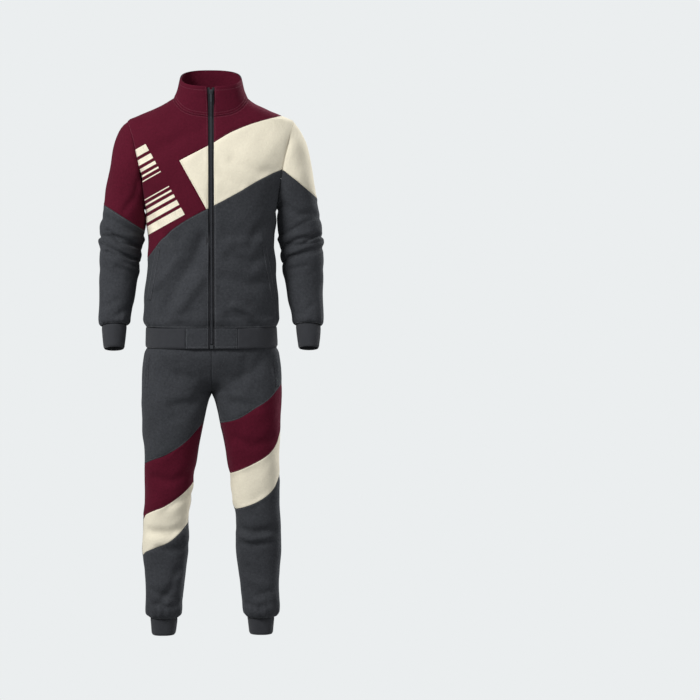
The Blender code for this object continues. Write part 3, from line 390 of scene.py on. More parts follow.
def seam_height(surface, around, line, between):
    """Height at which each column of a surface crosses a seam line drawn in the front view."""
    around = np.asarray(around, float)
    low, high = np.full(around.shape, float(between[0])), np.full(around.shape, float(between[1]))
    sign = -1 if line in LEG_SEAMS["right"].values() or line in LEG_SEAMS["left"].values() else 1
    for _ in range(40):
        middle = (low + high) / 2
        x = surface(around, middle)[..., 0] * sign
        above = middle > line.at(x, "height")
        low, high = np.where(above, low, middle), np.where(above, middle, high)
    return (low + high) / 2


def zip_edge(height, half_width):
    """How far round the body a line lies that stays this far from the centre line."""
    width, _, end = side_edge(np.asarray(height, float))
    return np.arcsin(np.sin(end) * (half_width / width) ** (1 / SQUARENESS)) / end


def height_of(line, around):
    """Height of one of the jacket's own seam lines at points round the body."""
    spans = {DIAGONAL_SEAM: (950, 1438), YOKE_SEAM: (1300, 1504), FRONT_NECKLINE: (1440, 1510)}
    around = np.abs(around) if line is FRONT_NECKLINE else around
    return seam_height(torso, around, line, spans[line])


def left_seam_rings(angles):
    """Ring number of the left sleeve's seam: a straight line from the armhole to the outer side."""
    start = np.where(np.sin(angles) > 0, BAND_AT_ARMHOLE_FRONT, BAND_AT_ARMHOLE_BACK)
    start_x = sleeve(armhole_angle(start), 0)[..., 0]
    end = sleeve(0, LEFT_SLEEVE_SEAM)
    slope = (end[2] - start) / (end[0] - start_x)
    low, high = np.zeros(angles.shape), np.full(angles.shape, 5.0)
    for _ in range(40):
        middle = (low + high) / 2
        point = sleeve(angles, middle)
        past = point[..., 2] < start + slope * (point[..., 0] - start_x)
        low, high = np.where(past, low, middle), np.where(past, middle, high)
    return np.maximum((low + high) / 2, 0)


def to_frame(points):
    """Millimetres above the ankle hem to metres from the neck."""
    return (np.asarray(points, float) - [0, 0, NECK_HEIGHT]) / 1000


def spread(length, step=GRID):
    """Shares 0 to 1 along an edge of about this length, close together where the cloth rolls at
    a seam and about one step apart elsewhere."""
    last = EDGE_ROWS[-1]
    count = max(2, round((length - 2 * last) / step))
    inside = np.linspace(last, length - last, count + 1)
    return np.concatenate([EDGE_ROWS[:-1], inside, [length - r for r in EDGE_ROWS[-2::-1]]]) / length


# Small waves in hanging cloth: direction, wavelength and height of each
RIPPLES = Sections("x y z wavelength height", [
    (0.9, 0.2, 0.4, 128, 1.0),
    (-0.5, 0.4, 0.8, 97, 0.8),
    (0.3, 0.9, -0.4, 151, 0.9),
    (0.7, -0.6, 0.3, 66, 0.45),
    (-0.8, 0.3, 0.5, 49, 0.3),
    (0.2, 0.6, 0.8, 77, 0.4),
    (0.6, 0.7, -0.5, 34, 0.14),
    (-0.3, -0.8, 0.6, 27, 0.1),
])


def ripples(points):
    """Height of the small waves at each point."""
    total = np.zeros(points.shape[:-1])
    for x, y, z, wavelength, height in RIPPLES.rows:
        along = points @ (np.array([x, y, z]) / math.hypot(x, y, z))
        bend = 0.7 * np.sin(points @ np.array([z, x, y]) * 2 * math.pi / (2.7 * wavelength))
        total += height * np.sin(along * 2 * math.pi / wavelength + 5 * x + bend)
    return total


# Folds as the photograph shows them, by the side they are seen from: the width and height of
# each, and the places it runs through, as x and height
FOLDS = {
    "front": [
        (6.5, -6.0, [(-285, 1137), (-251, 1104), (-195, 1092)]),
        (6, -6.0, [(-304, 1098), (-253, 1075), (-220, 1057), (-200, 1059)]),
        (6.5, -5.0, [(-288, 1078), (-242, 1050), (-200, 1034)]),
        (8, -3.0, [(-262, 1036), (-211, 1018)]),
        (9, -3.0, [(-262, 945), (-296, 925)]),
        (9, -3.5, [(-225, 925), (-262, 902)]),
        (6.5, -6.0, [(208, 1098), (251, 1096), (284, 1121), (295, 1126)]),
        (6, -4.5, [(265, 1098), (311, 1109)]),
        (6.5, -6.0, [(213, 1063), (239, 1070), (278, 1083), (314, 1090)]),
        (8, -3.0, [(218, 1030), (262, 1038)]),
        (9, -3.5, [(240, 905), (284, 932)]),
        (8, -3.0, [(239, 886), (262, 905)]),
        (10, -4.0, [(-190, 1300), (-212, 1230), (-240, 1190)]),
        (11, -4.0, [(196, 1210), (240, 1180), (285, 1185)]),
        (20, -10.0, [(-26, 1110), (-50, 1053), (-96, 987), (-138, 905)]),
        (15, 5.5, [(-92, 1060), (-118, 1022), (-152, 985)]),
        (16, 5.0, [(-30, 1000), (-66, 950), (-100, 905)]),
        (14, -5.0, [(-176, 1040), (-160, 960), (-168, 900)]),
        (14, 4.5, [(56, 1104), (136, 1108)]),
        (18, -6.0, [(50, 1062), (110, 1046), (160, 1080)]),
        (12, 6.5, [(63, 930), (102, 912), (139, 884), (168, 888)]),
        (14, -6.0, [(50, 905), (100, 888), (120, 878)]),
        (16, -5.0, [(40, 1010), (90, 985), (150, 1000)]),
        (14, -5.0, [(-168, 1172), (-120, 1120), (-96, 1108)]),
        (15, -5.0, [(174, 1180), (130, 1140), (110, 1105)]),
        (16, -3.5, [(60, 1330), (120, 1300), (172, 1296)]),
        (14, -3.0, [(30, 1290), (80, 1262)]),
        (18, -4.0, [(-60, 1400), (-130, 1372), (-180, 1330)]),
        (12, -5.0, [(78, 303), (112, 293), (172, 304)]),
        (11, 4.0, [(82, 284), (112, 277), (160, 284)]),
        (10, -5.0, [(80, 263), (112, 258), (160, 266)]),
        (13, -4.0, [(-66, 316), (-120, 292), (-176, 300)]),
        (12, -4.0, [(-60, 256), (-110, 246), (-150, 252)]),
        (12, -5.0, [(-96, 190), (-120, 130), (-146, 100)]),
        (12, -5.0, [(100, 196), (122, 136), (152, 104)]),
        (9, -4.5, [(-92, 92), (-126, 84), (-160, 92)]),
        (9, -4.5, [(96, 90), (130, 82), (164, 92)]),
        (14, -5.0, [(16, 700), (56, 664), (120, 650)]),
        (14, -5.0, [(-16, 700), (-56, 664), (-112, 652)]),
        (16, -4.0, [(-150, 790), (-110, 740), (-60, 730)]),
        (16, -4.0, [(150, 790), (112, 742), (66, 726)]),
        (13, -4.0, [(-56, 470), (-110, 440), (-160, 452)]),
        (12, -4.0, [(-70, 395), (-120, 372)]),
        (14, -4.0, [(64, 560), (120, 540), (170, 560)]),
    ],
    "back": [
        (20, -9.0, [(101, 1308), (120, 1150), (157, 991)]),
        (12, -10.0, [(17, 1075), (13, 960), (17, 880)]),
        (20, -9.0, [(-112, 1302), (-130, 1150), (-154, 966)]),
        (14, 5.0, [(56, 1040), (46, 885)]),
        (14, 5.0, [(-40, 1020), (-36, 885)]),
        (15, -6.0, [(92, 1010), (82, 880)]),
        (15, -6.0, [(-88, 1000), (-80, 880)]),
        (22, -5.0, [(20, 1400), (26, 1250), (10, 1130)]),
        (18, -4.0, [(170, 1350), (120, 1400)]),
        (18, -4.0, [(-170, 1350), (-120, 1400)]),
        (13, -7.0, [(46, 455), (96, 420), (172, 452)]),
        (12, 5.0, [(50, 420), (100, 394), (170, 424)]),
        (12, -7.0, [(54, 396), (106, 372), (164, 398)]),
        (13, -7.0, [(-46, 455), (-96, 422), (-172, 450)]),
        (12, 5.0, [(-50, 422), (-100, 396), (-170, 422)]),
        (12, -7.0, [(-54, 398), (-106, 372), (-164, 396)]),
        (12, -5.0, [(70, 350), (116, 336), (160, 346)]),
        (12, -5.0, [(-70, 350), (-116, 336), (-160, 346)]),
        (20, -2.5, [(20, 680), (80, 640), (150, 650)]),
        (20, -2.5, [(-20, 680), (-80, 640), (-150, 650)]),
        (12, -4.0, [(90, 150), (130, 110), (160, 104)]),
        (12, -4.0, [(-90, 150), (-130, 110), (-160, 104)]),
        (7, -6.0, [(-214, 1096), (-262, 1084), (-300, 1108)]),
        (7, -5.0, [(-216, 1058), (-262, 1052), (-302, 1070)]),
        (7, -6.0, [(214, 1094), (262, 1082), (300, 1106)]),
        (7, -5.0, [(216, 1056), (262, 1050), (302, 1068)]),
        (9, -4.0, [(222, 1020), (270, 1008)]),
        (9, -4.0, [(-222, 1020), (-270, 1008)]),
    ],
}


def fold_relief(points, normals):
    """Height of the folds over a panel: a trough or ridge with a soft swell along both its sides."""
    total = np.zeros(points.shape[:-1])
    flat = points[..., [0, 2]]
    for side, width, height, places in [(side, *fold) for side in FOLDS for fold in FOLDS[side]]:
        away = np.full(total.shape, 1e6)
        for start, end in zip(np.array(places[:-1], float), np.array(places[1:], float)):
            step = end - start
            share = np.clip((flat - start) @ step / (step @ step), 0, 1)
            away = np.minimum(away, np.linalg.norm(flat - start - share[..., None] * step, axis=-1))
        facing = normals[..., 1] * (-1 if side == "front" else 1)
        shape = 1.3 * np.exp(-((away / width) ** 2)) - 0.4 * np.exp(-((away / (2.4 * width)) ** 2))
        total += height * shape * np.clip(0.25 + 1.3 * facing, 0, 1)
    return total


def gathers(phase, distance, count, reach, height):
    """Short pleats that fade with distance from an elastic seam. phase goes from 0 to 1 round it."""
    turn = phase * 2 * math.pi
    wander = 0.9 * np.sin(3 * turn + 1.0) + 0.6 * np.sin(7 * turn + 2.2)
    strength = 0.65 + 0.35 * np.sin(5 * turn + 0.4)
    wave = 0.5 + 0.5 * np.sin(count * turn + wander)
    puff = distance / reach * np.exp(1 - distance / reach)
    return height * strength * (0.35 + 0.65 * wave) * puff


def run_along(points, axis):
    """Millimetres along the cloth to each point, from the first row or column."""
    run = np.linalg.norm(np.diff(points, axis=axis), axis=-1).cumsum(axis)
    return np.concatenate([np.zeros_like(np.take(run, [0], axis)), run], axis)


def surface_normals(points):
    """Directions square to a grid of points, worked out from its rows and columns."""
    down = np.gradient(points, axis=0)
    along = np.gradient(points, axis=1)
    normals = np.cross(along, down)
    return normals / (np.linalg.norm(normals, axis=-1, keepdims=True) + 1e-12)


def edge_distances(points, notch):
    """Millimetres along the cloth from each point to the panel's four edges."""
    across, up = run_along(points, 1), run_along(points, 0)
    bottom, left = up.copy(), across.copy()
    bottom[:, :notch[1]] -= up[notch[0], :notch[1]]
    left[:notch[0]] -= across[:notch[0], notch[1]][:, None]
    return {"bottom": bottom, "top": up[-1:] - up, "left": left, "right": across[:, -1:] - across}


def placed(name, data):
    """A new object of this data in the scene."""
    obj = bpy.data.objects.new(name, data)
    bpy.context.scene.collection.objects.link(obj)
    return obj


def cloth_mesh(name, outer, inner, uv, notch, flip):
    """A closed mesh of an outer and an inner grid, less the notch, with a wall along every edge."""
    rows, columns = outer.shape[:2]
    count = rows * columns
    index = np.arange(count).reshape(rows, columns)
    quads = np.stack([index[:-1, :-1], index[:-1, 1:], index[1:, 1:], index[1:, :-1]], -1)
    kept = np.ones(quads.shape[:2], bool)
    kept[:notch[0], :notch[1]] = False
    quads = quads[kept]
    ends = np.stack([quads, np.roll(quads, -1, 1)], -1).reshape(-1, 2)
    lone = ends[~np.isin(ends[:, 0] * count + ends[:, 1], ends[:, 1] * count + ends[:, 0])]
    walls = np.stack([lone[:, 1], lone[:, 0], lone[:, 0] + count, lone[:, 1] + count], -1)
    faces = np.concatenate([quads, quads[:, ::-1] + count, walls])
    used, faces = np.unique(faces, return_inverse=True)
    faces = faces.reshape(-1, 4)[:, ::-1 if flip else 1]
    vertices = to_frame(np.concatenate([outer.reshape(-1, 3), inner.reshape(-1, 3)]))[used]
    mesh = bpy.data.meshes.new(name)
    mesh.from_pydata(vertices.tolist(), [], faces.tolist())
    corners = np.empty(len(mesh.loops), np.int32)
    mesh.loops.foreach_get("vertex_index", corners)
    uv = np.concatenate([uv.reshape(-1, 2)] * 2)[used]
    mesh.uv_layers.new(name="cloth").data.foreach_set("uv", uv[corners].ravel())
    mesh.shade_smooth()
    return mesh


def mirror_plane(points, normals):
    """Directions that stay in the middle plane where the two trouser legs meet above the crotch."""
    near = np.where(points[..., 2] > CROTCH - 4, np.clip(np.abs(points[..., 0]) / 8, 0, 1), 1)
    normals = normals * np.stack([near, np.ones_like(near), np.ones_like(near)], -1)
    return normals / np.linalg.norm(normals, axis=-1, keepdims=True)


# Rows of topstitching: the thread, the edge each row follows, how far in, and the pieces it runs on
STITCH_ROWS = [
    (thread + "_thread", piece, edge, inset)
    for thread, edge, inset, pieces in (
        ("maroon", "top", 11, "collar_left collar_right"),
        ("maroon", "bottom", 3.2, "collar_left collar_right"),
        ("maroon", "bottom", 10, "collar_left collar_right"),
        ("charcoal", "top", 11, "collar_back"),
        ("charcoal", "bottom", 3.2, "collar_back"),
        ("charcoal", "top", 3.2, "back"),
        ("maroon", "top", 3.2, "front_left_yoke front_right_upper"),
        ("maroon", "left", 3.4, "front_left_yoke front_right_upper"),
        ("cream", "left", 3.4, "front_left_band front_right_inset"),
        ("cream", "right", 3.2, "front_right_inset"),
        ("maroon", "left", 3.4, "collar_left collar_right"),
        ("charcoal", "left", 3.4, "front_left_lower front_right_lower hem_tab_left hem_tab_right"),
        ("charcoal", "right", 3.0, "hem_tab_left hem_tab_right"),
        ("charcoal", "bottom", 5, "hem_tab_left hem_tab_right"),
        ("charcoal", "top", 3.2, "front_left_lower front_right_lower"),
        ("maroon", "bottom", 3.2, "front_left_yoke"),
        ("cream", "right", 3.2, "front_left_band"),
        ("maroon", "right", 3.2, "front_right_upper"),
        ("charcoal", "bottom", 3.2, "front_left_lower front_right_lower back"),
        ("charcoal", "left", 3.2, "back"),
        ("charcoal", "right", 3.2, "back"),
        ("charcoal", "top", 3.2, "sleeve_left_lower sleeve_right_lower"),
        ("charcoal", "bottom", 3.2, "sleeve_right_lower"),
        ("cream", "top", 3.2, "sleeve_left_upper"),
        ("charcoal", "bottom", 3.2, "leg_left_shin leg_right_shin leg_left_back leg_right_back"),
        ("charcoal", "top", 3.2, "leg_left_shin leg_right_shin"),
        ("maroon", "bottom", 3.2, "leg_left_maroon leg_right_maroon"),
        ("charcoal", "bottom", 3.2, "leg_left_thigh leg_right_thigh"),
        ("charcoal", "left", 3.2, "leg_left_thigh leg_right_thigh leg_left_back leg_right_back"),
    )
    for piece in pieces.split()
]
STITCH_ROWS += [
    ("charcoal_thread", f"{garment}_pocket_{side}", edge, 2.2)
    for garment in ("jacket", "trouser")
    for side in ("left", "right")
    for edge in ("left", "right")
]
FLY = [(38, 812), (36, 790), (31, 772), (22, 757), (12, 748), (3, 744)]

made_cloth = {}


def make_cloth(name, slot, points, out=1, lift=0, thickness=CLOTH, roll=SEAM_ROLL, dip=SEAM_DIP,
               ripple=1.0, sunk=0.0, held="stretched", notch=(0, 0)):
    """A panel of cloth: a fine grid with rolled edges, a wall behind it and a UV map in metres."""
    points = np.array(points, float)
    joined = name.startswith(("leg", "waistband"))

    def outward():
        normals = surface_normals(points) * out
        return mirror_plane(points, normals) if joined else normals

    normals = outward()
    away = edge_distances(points, notch)
    nearest = np.minimum.reduce(list(away.values()))
    rise = lift + ripple * ripples(points) * np.clip(nearest / 12, 0, 1)
    if ripple or np.ndim(lift):
        rise = rise + (fold_relief(points, normals) if ripple == 1 else 0)
        points = points + normals * rise[..., None]
        normals = outward()
    depth = dip * np.exp(-((nearest / roll) ** 2))
    for _, piece, edge, inset in STITCH_ROWS:
        if piece == name:
            depth = depth + GROOVE_DEPTH * np.exp(-(((away[edge] - inset) / GROOVE_WIDTH) ** 2))
    outer = points - normals * (sunk + depth)[..., None]
    inner = points - normals * (sunk + np.maximum(thickness, depth + 0.6))[..., None]
    across, up = run_along(points, 1), run_along(points, 0)
    middle = across[:, across.shape[1] // 2][:, None]
    uv = np.stack([across - middle, up], -1) / 1000
    mesh = cloth_mesh(name, outer, inner, uv, notch, out < 0)
    mesh.materials.append(MATERIALS[slot])
    obj = placed("cloth_" + name, mesh)
    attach(obj, BODY)
    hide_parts(name)
    made_cloth[name] = {"points": points, "normals": normals, "notch": notch}
    return obj


def beside_zip(heights, shares):
    """How far round the body each share of the way from the zip's opening to the side lies."""
    edge = zip_edge(heights, ZIP_OPENING)
    return edge + (1 - edge) * shares


def fitted_line(line, side, shares):
    """Heights of a seam line at shares of the way round from the zip to the side."""
    heights = np.full(shares.shape, 1300.0)
    for _ in range(3):
        heights = height_of(line, side * beside_zip(heights, shares))
    return heights


def hem_gathers(around, heights, amount):
    """The body's gathers above the hem band, which has none beside the zip."""
    phase = (around % 4) / 4
    away = np.clip(np.abs(around - 4 * (around > 2)) - 0.35, 0, 0.4) / 0.4
    return gathers(phase, np.maximum(heights - HEM_SEAM, 0), 31, 19, amount) * away


def make_fronts():
    shares = spread(260)
    for name, slot, low, high, steps in (
        ("right_lower", "charcoal_fleece", None, DIAGONAL_SEAM, 330),
        ("left_lower", "charcoal_fleece", None, DIAGONAL_SEAM, 400),
        ("left_band", "cream_fleece", DIAGONAL_SEAM, YOKE_SEAM, 170),
        ("left_yoke", "maroon_fleece", YOKE_SEAM, FRONT_NECKLINE, 80),
    ):
        side = -1 if name.startswith("right") else 1
        bottom = fitted_line(low, side, shares) if low else np.full(shares.shape, HEM_SEAM)
        top = fitted_line(high, side, shares)
        heights = bottom + (top - bottom) * spread(steps)[:, None]
        around = side * beside_zip(heights, shares)
        lift = hem_gathers(around, heights, 3.4) + armpit_swell(around, heights)
        make_cloth("front_" + name, slot, torso(around, heights), out=side, lift=lift)
    around, heights, notch = right_upper_grid()
    points, lift = torso(around, heights), armpit_swell(around, heights)
    inset = points[:notch[0] + 1, :notch[1] + 1]
    make_cloth("front_right_inset", "cream_fleece", inset, out=-1)
    make_cloth("front_right_upper", "maroon_fleece", points, out=-1, lift=lift, notch=notch)


def right_upper_grid():
    """How far round and how high each point of the wearer's right upper front lies.

    The inset beside the zip takes the rows and columns before the returned notch.
    """
    climb, inner, share, steps = spread(250), spread(75), spread(200), spread(150)[:, None]
    foot = float(height_of(DIAGONAL_SEAM, -zip_edge(INSET_FOOT_LEVEL, -INSET_FOOT)))
    slant_x = INSET_FOOT + (INSET_POINT[0] - INSET_FOOT) * climb
    slant = zip_edge(foot + (INSET_POINT[1] - foot) * climb, -slant_x)[:, None]

    rest = slant + (1 - slant) * share
    low = height_of(DIAGONAL_SEAM, -rest[0])
    low[0] = foot
    high = INSET_POINT[1] + (BAND_AT_ARMHOLE_FRONT - INSET_POINT[1]) * share
    rest_h = low + (high - low) * climb[:, None]

    zip_low = float(height_of(DIAGONAL_SEAM, -zip_edge(INSET_ZIP_LEVEL, ZIP_OPENING)))
    low = zip_low + (foot - zip_low) * inner
    high = INSET_ZIP_TOP + (INSET_POINT[1] - INSET_ZIP_TOP) * inner
    inset_h = low + (high - low) * climb[:, None]
    inset = zip_edge(inset_h, ZIP_OPENING + (-slant_x[:, None] - ZIP_OPENING) * inner)

    first, first_h = np.append(inset[-1], rest[-1, 1:]), np.append(inset_h[-1], rest_h[-1, 1:])
    last = beside_zip(FRONT_NECKLINE.rows[0, 1], (first - first[0]) / (1 - first[0]))
    last_h = height_of(FRONT_NECKLINE, -last)
    upper, upper_h = first + (last - first) * steps, first_h + (last_h - first_h) * steps
    upper[:, 0] = zip_edge(upper_h[:, 0], ZIP_OPENING)
    around = np.concatenate([np.concatenate([inset, rest[:, 1:]], 1), upper[1:]])
    heights = np.concatenate([np.concatenate([inset_h, rest_h[:, 1:]], 1), upper_h[1:]])
    return -around, heights, (len(climb) - 1, len(inner) - 1)


def make_back():
    columns = 1 + 2 * spread(560)
    columns[[0, -1]] = np.nextafter(1, 2), np.nextafter(3, 2)
    top = seam_height(torso, np.minimum(columns, 4 - columns), BACK_NECKLINE, (1500, 1525))
    heights = HEM_SEAM + (top - HEM_SEAM) * spread(660)[:, None]
    lift = hem_gathers(columns, heights, 5.0) + armpit_swell(columns, heights)
    make_cloth("back", "charcoal_fleece", torso(columns, heights), lift=lift)


def make_hem():
    heights = HEM + (HEM_SEAM - HEM) * spread(57)[:, None]
    tab = float(zip_edge(HEM_SEAM, HEM_TAB))
    around = tab + (4 - 2 * tab) * spread(950)
    make_cloth("hem_band", "charcoal_rib", torso(around, heights), ripple=0.4, **ELASTIC)
    for side, name in ((1, "left"), (-1, "right")):
        start = zip_edge(heights, ZIP_OPENING)
        columns = side * (start + (tab - start) * spread(64))
        make_cloth("hem_tab_" + name, "charcoal_fleece", torso(columns, heights), out=side, ripple=0.3,
                   dip=1.4)


def leg_relief(around, heights):
    """Finer folds of a leg: the gathers above its cuff."""
    phase = around / 2
    return gathers(phase, np.maximum(heights - ANKLE_SEAM, 0), 15, 17, 4.2)


def sleeve_relief(angles, rings, armpit=5.0):
    """The gathers above the cuff, and the swell that closes the armpit, in millimetres."""
    phase = (angles + math.pi) / (2 * math.pi)
    cuff = np.maximum(10 - rings, 0) * RING_LENGTH
    inner = np.clip(-np.cos(angles), 0, 1) ** 3
    swell = armpit * inner * np.exp(-(((rings - 3.9) / 1.3) ** 2)) * np.clip(rings / 1.5, 0, 1)
    return gathers(phase, cuff, 12, 15, 3.6) + swell


def armpit_swell(around, heights):
    """How far the body swells towards the sleeve, under the armpit."""
    aside = np.exp(-(((np.minimum(np.abs(around), 4 - np.abs(around)) - 1) / 0.16) ** 2))
    return 4.0 * aside * np.exp(-(((heights - 1166) / 26) ** 2)) * np.clip((ARMPIT - heights) / 12, 0, 1)


def make_sleeves():
    angles = math.pi * (2 * spread(470) - 1)
    upper = RIGHT_SLEEVE_SEAM * spread(260)[:, None]
    lower = RIGHT_SLEEVE_SEAM + (10 - RIGHT_SLEEVE_SEAM) * spread(330, 3.6)[:, None]
    for name, slot, rings in (("upper", "maroon_fleece", upper), ("lower", "charcoal_fleece", lower)):
        points, lift = sleeve(angles, rings), sleeve_relief(angles, rings, armpit=8.5)
        points[..., 0] *= -1
        make_cloth(f"sleeve_right_{name}", slot, points, out=-1, lift=lift)
    front = float(armhole_angle(BAND_AT_ARMHOLE_FRONT))
    back = float(armhole_angle(BAND_AT_ARMHOLE_BACK))
    cap = -back + (front + back) * spread(240)
    rings = np.maximum(left_seam_rings(cap), 0.1) * spread(150)[:, None]
    make_cloth("sleeve_left_upper", "cream_fleece", sleeve(cap, rings), lift=sleeve_relief(cap, rings))
    in_cap = (angles > -back) & (angles < front)
    seam = np.where(in_cap, np.maximum(left_seam_rings(angles), 0.1), 0)
    down = spread(560, 3.8)[:, None]
    level = LEVEL_RING / 10
    rings = np.where(down < level, seam + (LEVEL_RING - seam) * down / level, 10 * down)
    points, lift = sleeve(angles, rings), sleeve_relief(angles, rings)
    make_cloth("sleeve_left_lower", "charcoal_fleece", points, lift=lift)


def make_cuffs():
    angles = math.pi * (2 * spread(210) - 1)
    rings = 10 + 2 * spread(64)[:, None]
    points = sleeve(angles, rings, SLEEVE_CUFF)
    make_cloth("cuff_left", "charcoal_rib", points, ripple=0.3, **ELASTIC)
    points[..., 0] *= -1
    make_cloth("cuff_right", "charcoal_rib", points, out=-1, ripple=0.3, **ELASTIC)


def make_collar():
    share = spread(80, 2.0)[:, None]
    start = float(zip_edge(FRONT_NECKLINE.rows[0, 1], ZIP_OPENING))
    for name, side in (("left", 1), ("right", -1)):
        around = side * (start + (1 - start) * spread(150))
        make_cloth("collar_" + name, "maroon_fleece", collar(around, share), out=side, ripple=0.3)
    around = 1 + 2 * spread(200)
    make_cloth("collar_back", "charcoal_fleece", collar(around, share), ripple=0.3)
    start = float(zip_edge(FRONT_NECKLINE.rows[0, 1], STRIP_END))
    around = start + (4 - 2 * start) * spread(440)
    points = collar(around, 0.06 + 0.94 * share)
    make_cloth("collar_facing", "maroon_fleece", points, thickness=TRIM_CLOTH,
               sunk=CLOTH + 0.6, ripple=0.3)


def make_trousers():
    spans = {"shin": (150, 500), "cream": (250, 650), "maroon": (400, 760)}
    shares = spread(270)
    flat = np.ones(shares.shape)
    for side in ("right", "left"):
        out = 1 if side == "right" else -1
        lines = LEG_SEAMS[side]
        height = {name: seam_height(leg, shares, lines[name], spans[name]) for name in lines}
        for name, slot, low, high, length in (
            ("shin", "charcoal_fleece", ANKLE_SEAM * flat, height["shin"], 290),
            ("cream", "cream_fleece", height["shin"], height["cream"], 110),
            ("maroon", "maroon_fleece", height["cream"], height["maroon"], 140),
            ("thigh", "charcoal_fleece", height["maroon"], WAIST_SEAM * flat, 330),
        ):
            heights = low + (high - low) * spread(length)[:, None]
            points, lift = leg(shares, heights), leg_relief(shares, heights)
            points[..., 0] *= out
            make_cloth(f"leg_{side}_{name}", slot, points, out=out, lift=lift)
        columns = 1 + spread(300)
        columns[0] = np.nextafter(1, 2)
        heights = ANKLE_SEAM + (WAIST_SEAM - ANKLE_SEAM) * spread(870)[:, None]
        points, lift = leg(columns, heights), leg_relief(columns, heights)
        points[..., 0] *= out
        make_cloth(f"leg_{side}_back", "charcoal_fleece", points, out=out, lift=lift)
        ring = 2 * spread(250)
        points = leg(ring, ANKLE_SEAM * spread(48)[:, None], ANKLE_CUFF)
        points[..., 0] *= out
        make_cloth(f"ankle_cuff_{side}", "charcoal_rib", points, out=out, ripple=0.3, **ELASTIC)
    heights = (WAIST_SEAM + (WAIST_TOP - WAIST_SEAM) * spread(42))[:, None]
    half = spread(250)
    front, back = leg(half, heights), leg(np.maximum(1 + half, np.nextafter(1, 2)), heights)
    other = np.array([-1, 1, 1])
    ring = [front, front[:, -2::-1] * other, back[:, -2::-1] * other, back[:, 1:]]
    make_cloth("waistband", "charcoal_rib", np.concatenate(ring, 1), ripple=0.3)


def from_front(name, places):
    """Points and outward directions on a piece of cloth, straight behind places given as x, height."""
    obj = bpy.data.objects["cloth_" + name]
    points, normals = [], []
    for x, height in places:
        start = Vector((x / 1000, -1.0, (height - NECK_HEIGHT) / 1000))
        hit, point, normal, _ = obj.ray_cast(start, Vector((0, 1, 0)))
        if hit:
            points.append(np.array(point) * 1000 + [0, 0, NECK_HEIGHT])
            normals.append(np.array(normal))
    return np.array(points), np.array(normals)


def straight(*corners, step=4.0):
    """Places every few millimetres along straight lines through the corners."""
    places = [np.array(corners[0], float)]
    for start, end in zip(corners[:-1], corners[1:]):
        count = max(1, round(math.dist(start, end) / step))
        places += [start + (np.array(end, float) - start) * i / count for i in range(1, count + 1)]
    return places


def make_pockets():
    """The welts of the jacket's and the trousers' pockets, on the cloth they are sewn to."""
    for side, sign in (("right", -1), ("left", 1)):
        for name, panel, low, high, width in (
            ("jacket_pocket_" + side, f"front_{side}_lower", (173, 944), (146, 1092), 12.5),
            ("trouser_pocket_" + side, f"leg_{side}_thigh", (183, 702), (178, 786), 11),
        ):
            columns = []
            for offset in width * (spread(width, 2.5) - 0.5):
                line = straight((sign * (low[0] + offset), low[1]), (sign * (high[0] + offset), high[1]))
                columns.append(from_front(panel, line))
            points = np.stack([c[0] for c in columns], 1)
            normals = np.stack([c[1] for c in columns], 1)
            made = make_cloth(name, "charcoal_fleece", points + normals * 0.2, out=sign, ripple=0,
                              thickness=TRIM_CLOTH, sunk=-TRIM_CLOTH, dip=0.8, roll=1.2)
            made["sewn_to"] = panel


def beside_edge(name, edge, inset):
    """Points and directions out of the cloth along a line this far in from a panel's edge."""
    cloth = made_cloth[name]
    points, normals = cloth["points"], cloth["normals"]
    if edge == "left":
        points, normals = points[cloth["notch"][0]:], normals[cloth["notch"][0]:]
    if edge == "bottom":
        points, normals = points[:, cloth["notch"][1]:], normals[:, cloth["notch"][1]:]
    if edge in ("left", "right"):
        points, normals = points.transpose(1, 0, 2), normals.transpose(1, 0, 2)
    if edge in ("top", "right"):
        points, normals = points[::-1], normals[::-1]
    away = run_along(points, 0)
    line, outward = [], []
    for c in range(points.shape[1]):
        line.append([np.interp(inset, away[:, c], part) for part in points[:, c].T])
        outward.append([np.interp(inset, away[:, c], part) for part in normals[:, c].T])
    return np.array(line), np.array(outward)


def evenly(line, outward, pitch, start=0.0):
    """Places at even spacing along a line, with its direction and the direction out of the cloth."""
    run = run_along(line, 0)
    count = int((run[-1] - start) / pitch)
    where = start + pitch * (np.arange(count) + 0.5)
    points = np.stack([np.interp(where, run, part) for part in line.T], -1)
    normals = np.stack([np.interp(where, run, part) for part in outward.T], -1)
    ahead = np.stack([np.interp(where + 0.5, run, part) for part in line.T], -1)
    behind = np.stack([np.interp(where - 0.5, run, part) for part in line.T], -1)
    return points, ahead - behind, normals


def node(tree, kind, sockets=None, **settings):
    """A node with its settings, and its inputs set to values or linked from other nodes."""
    made = tree.nodes.new(kind)
    for key, value in settings.items():
        setattr(made, key, value)
    for key, value in (sockets or {}).items():
        if isinstance(value, bpy.types.NodeSocket):
            tree.links.new(value, made.inputs[key])
        else:
            made.inputs[key].default_value = value
    return made


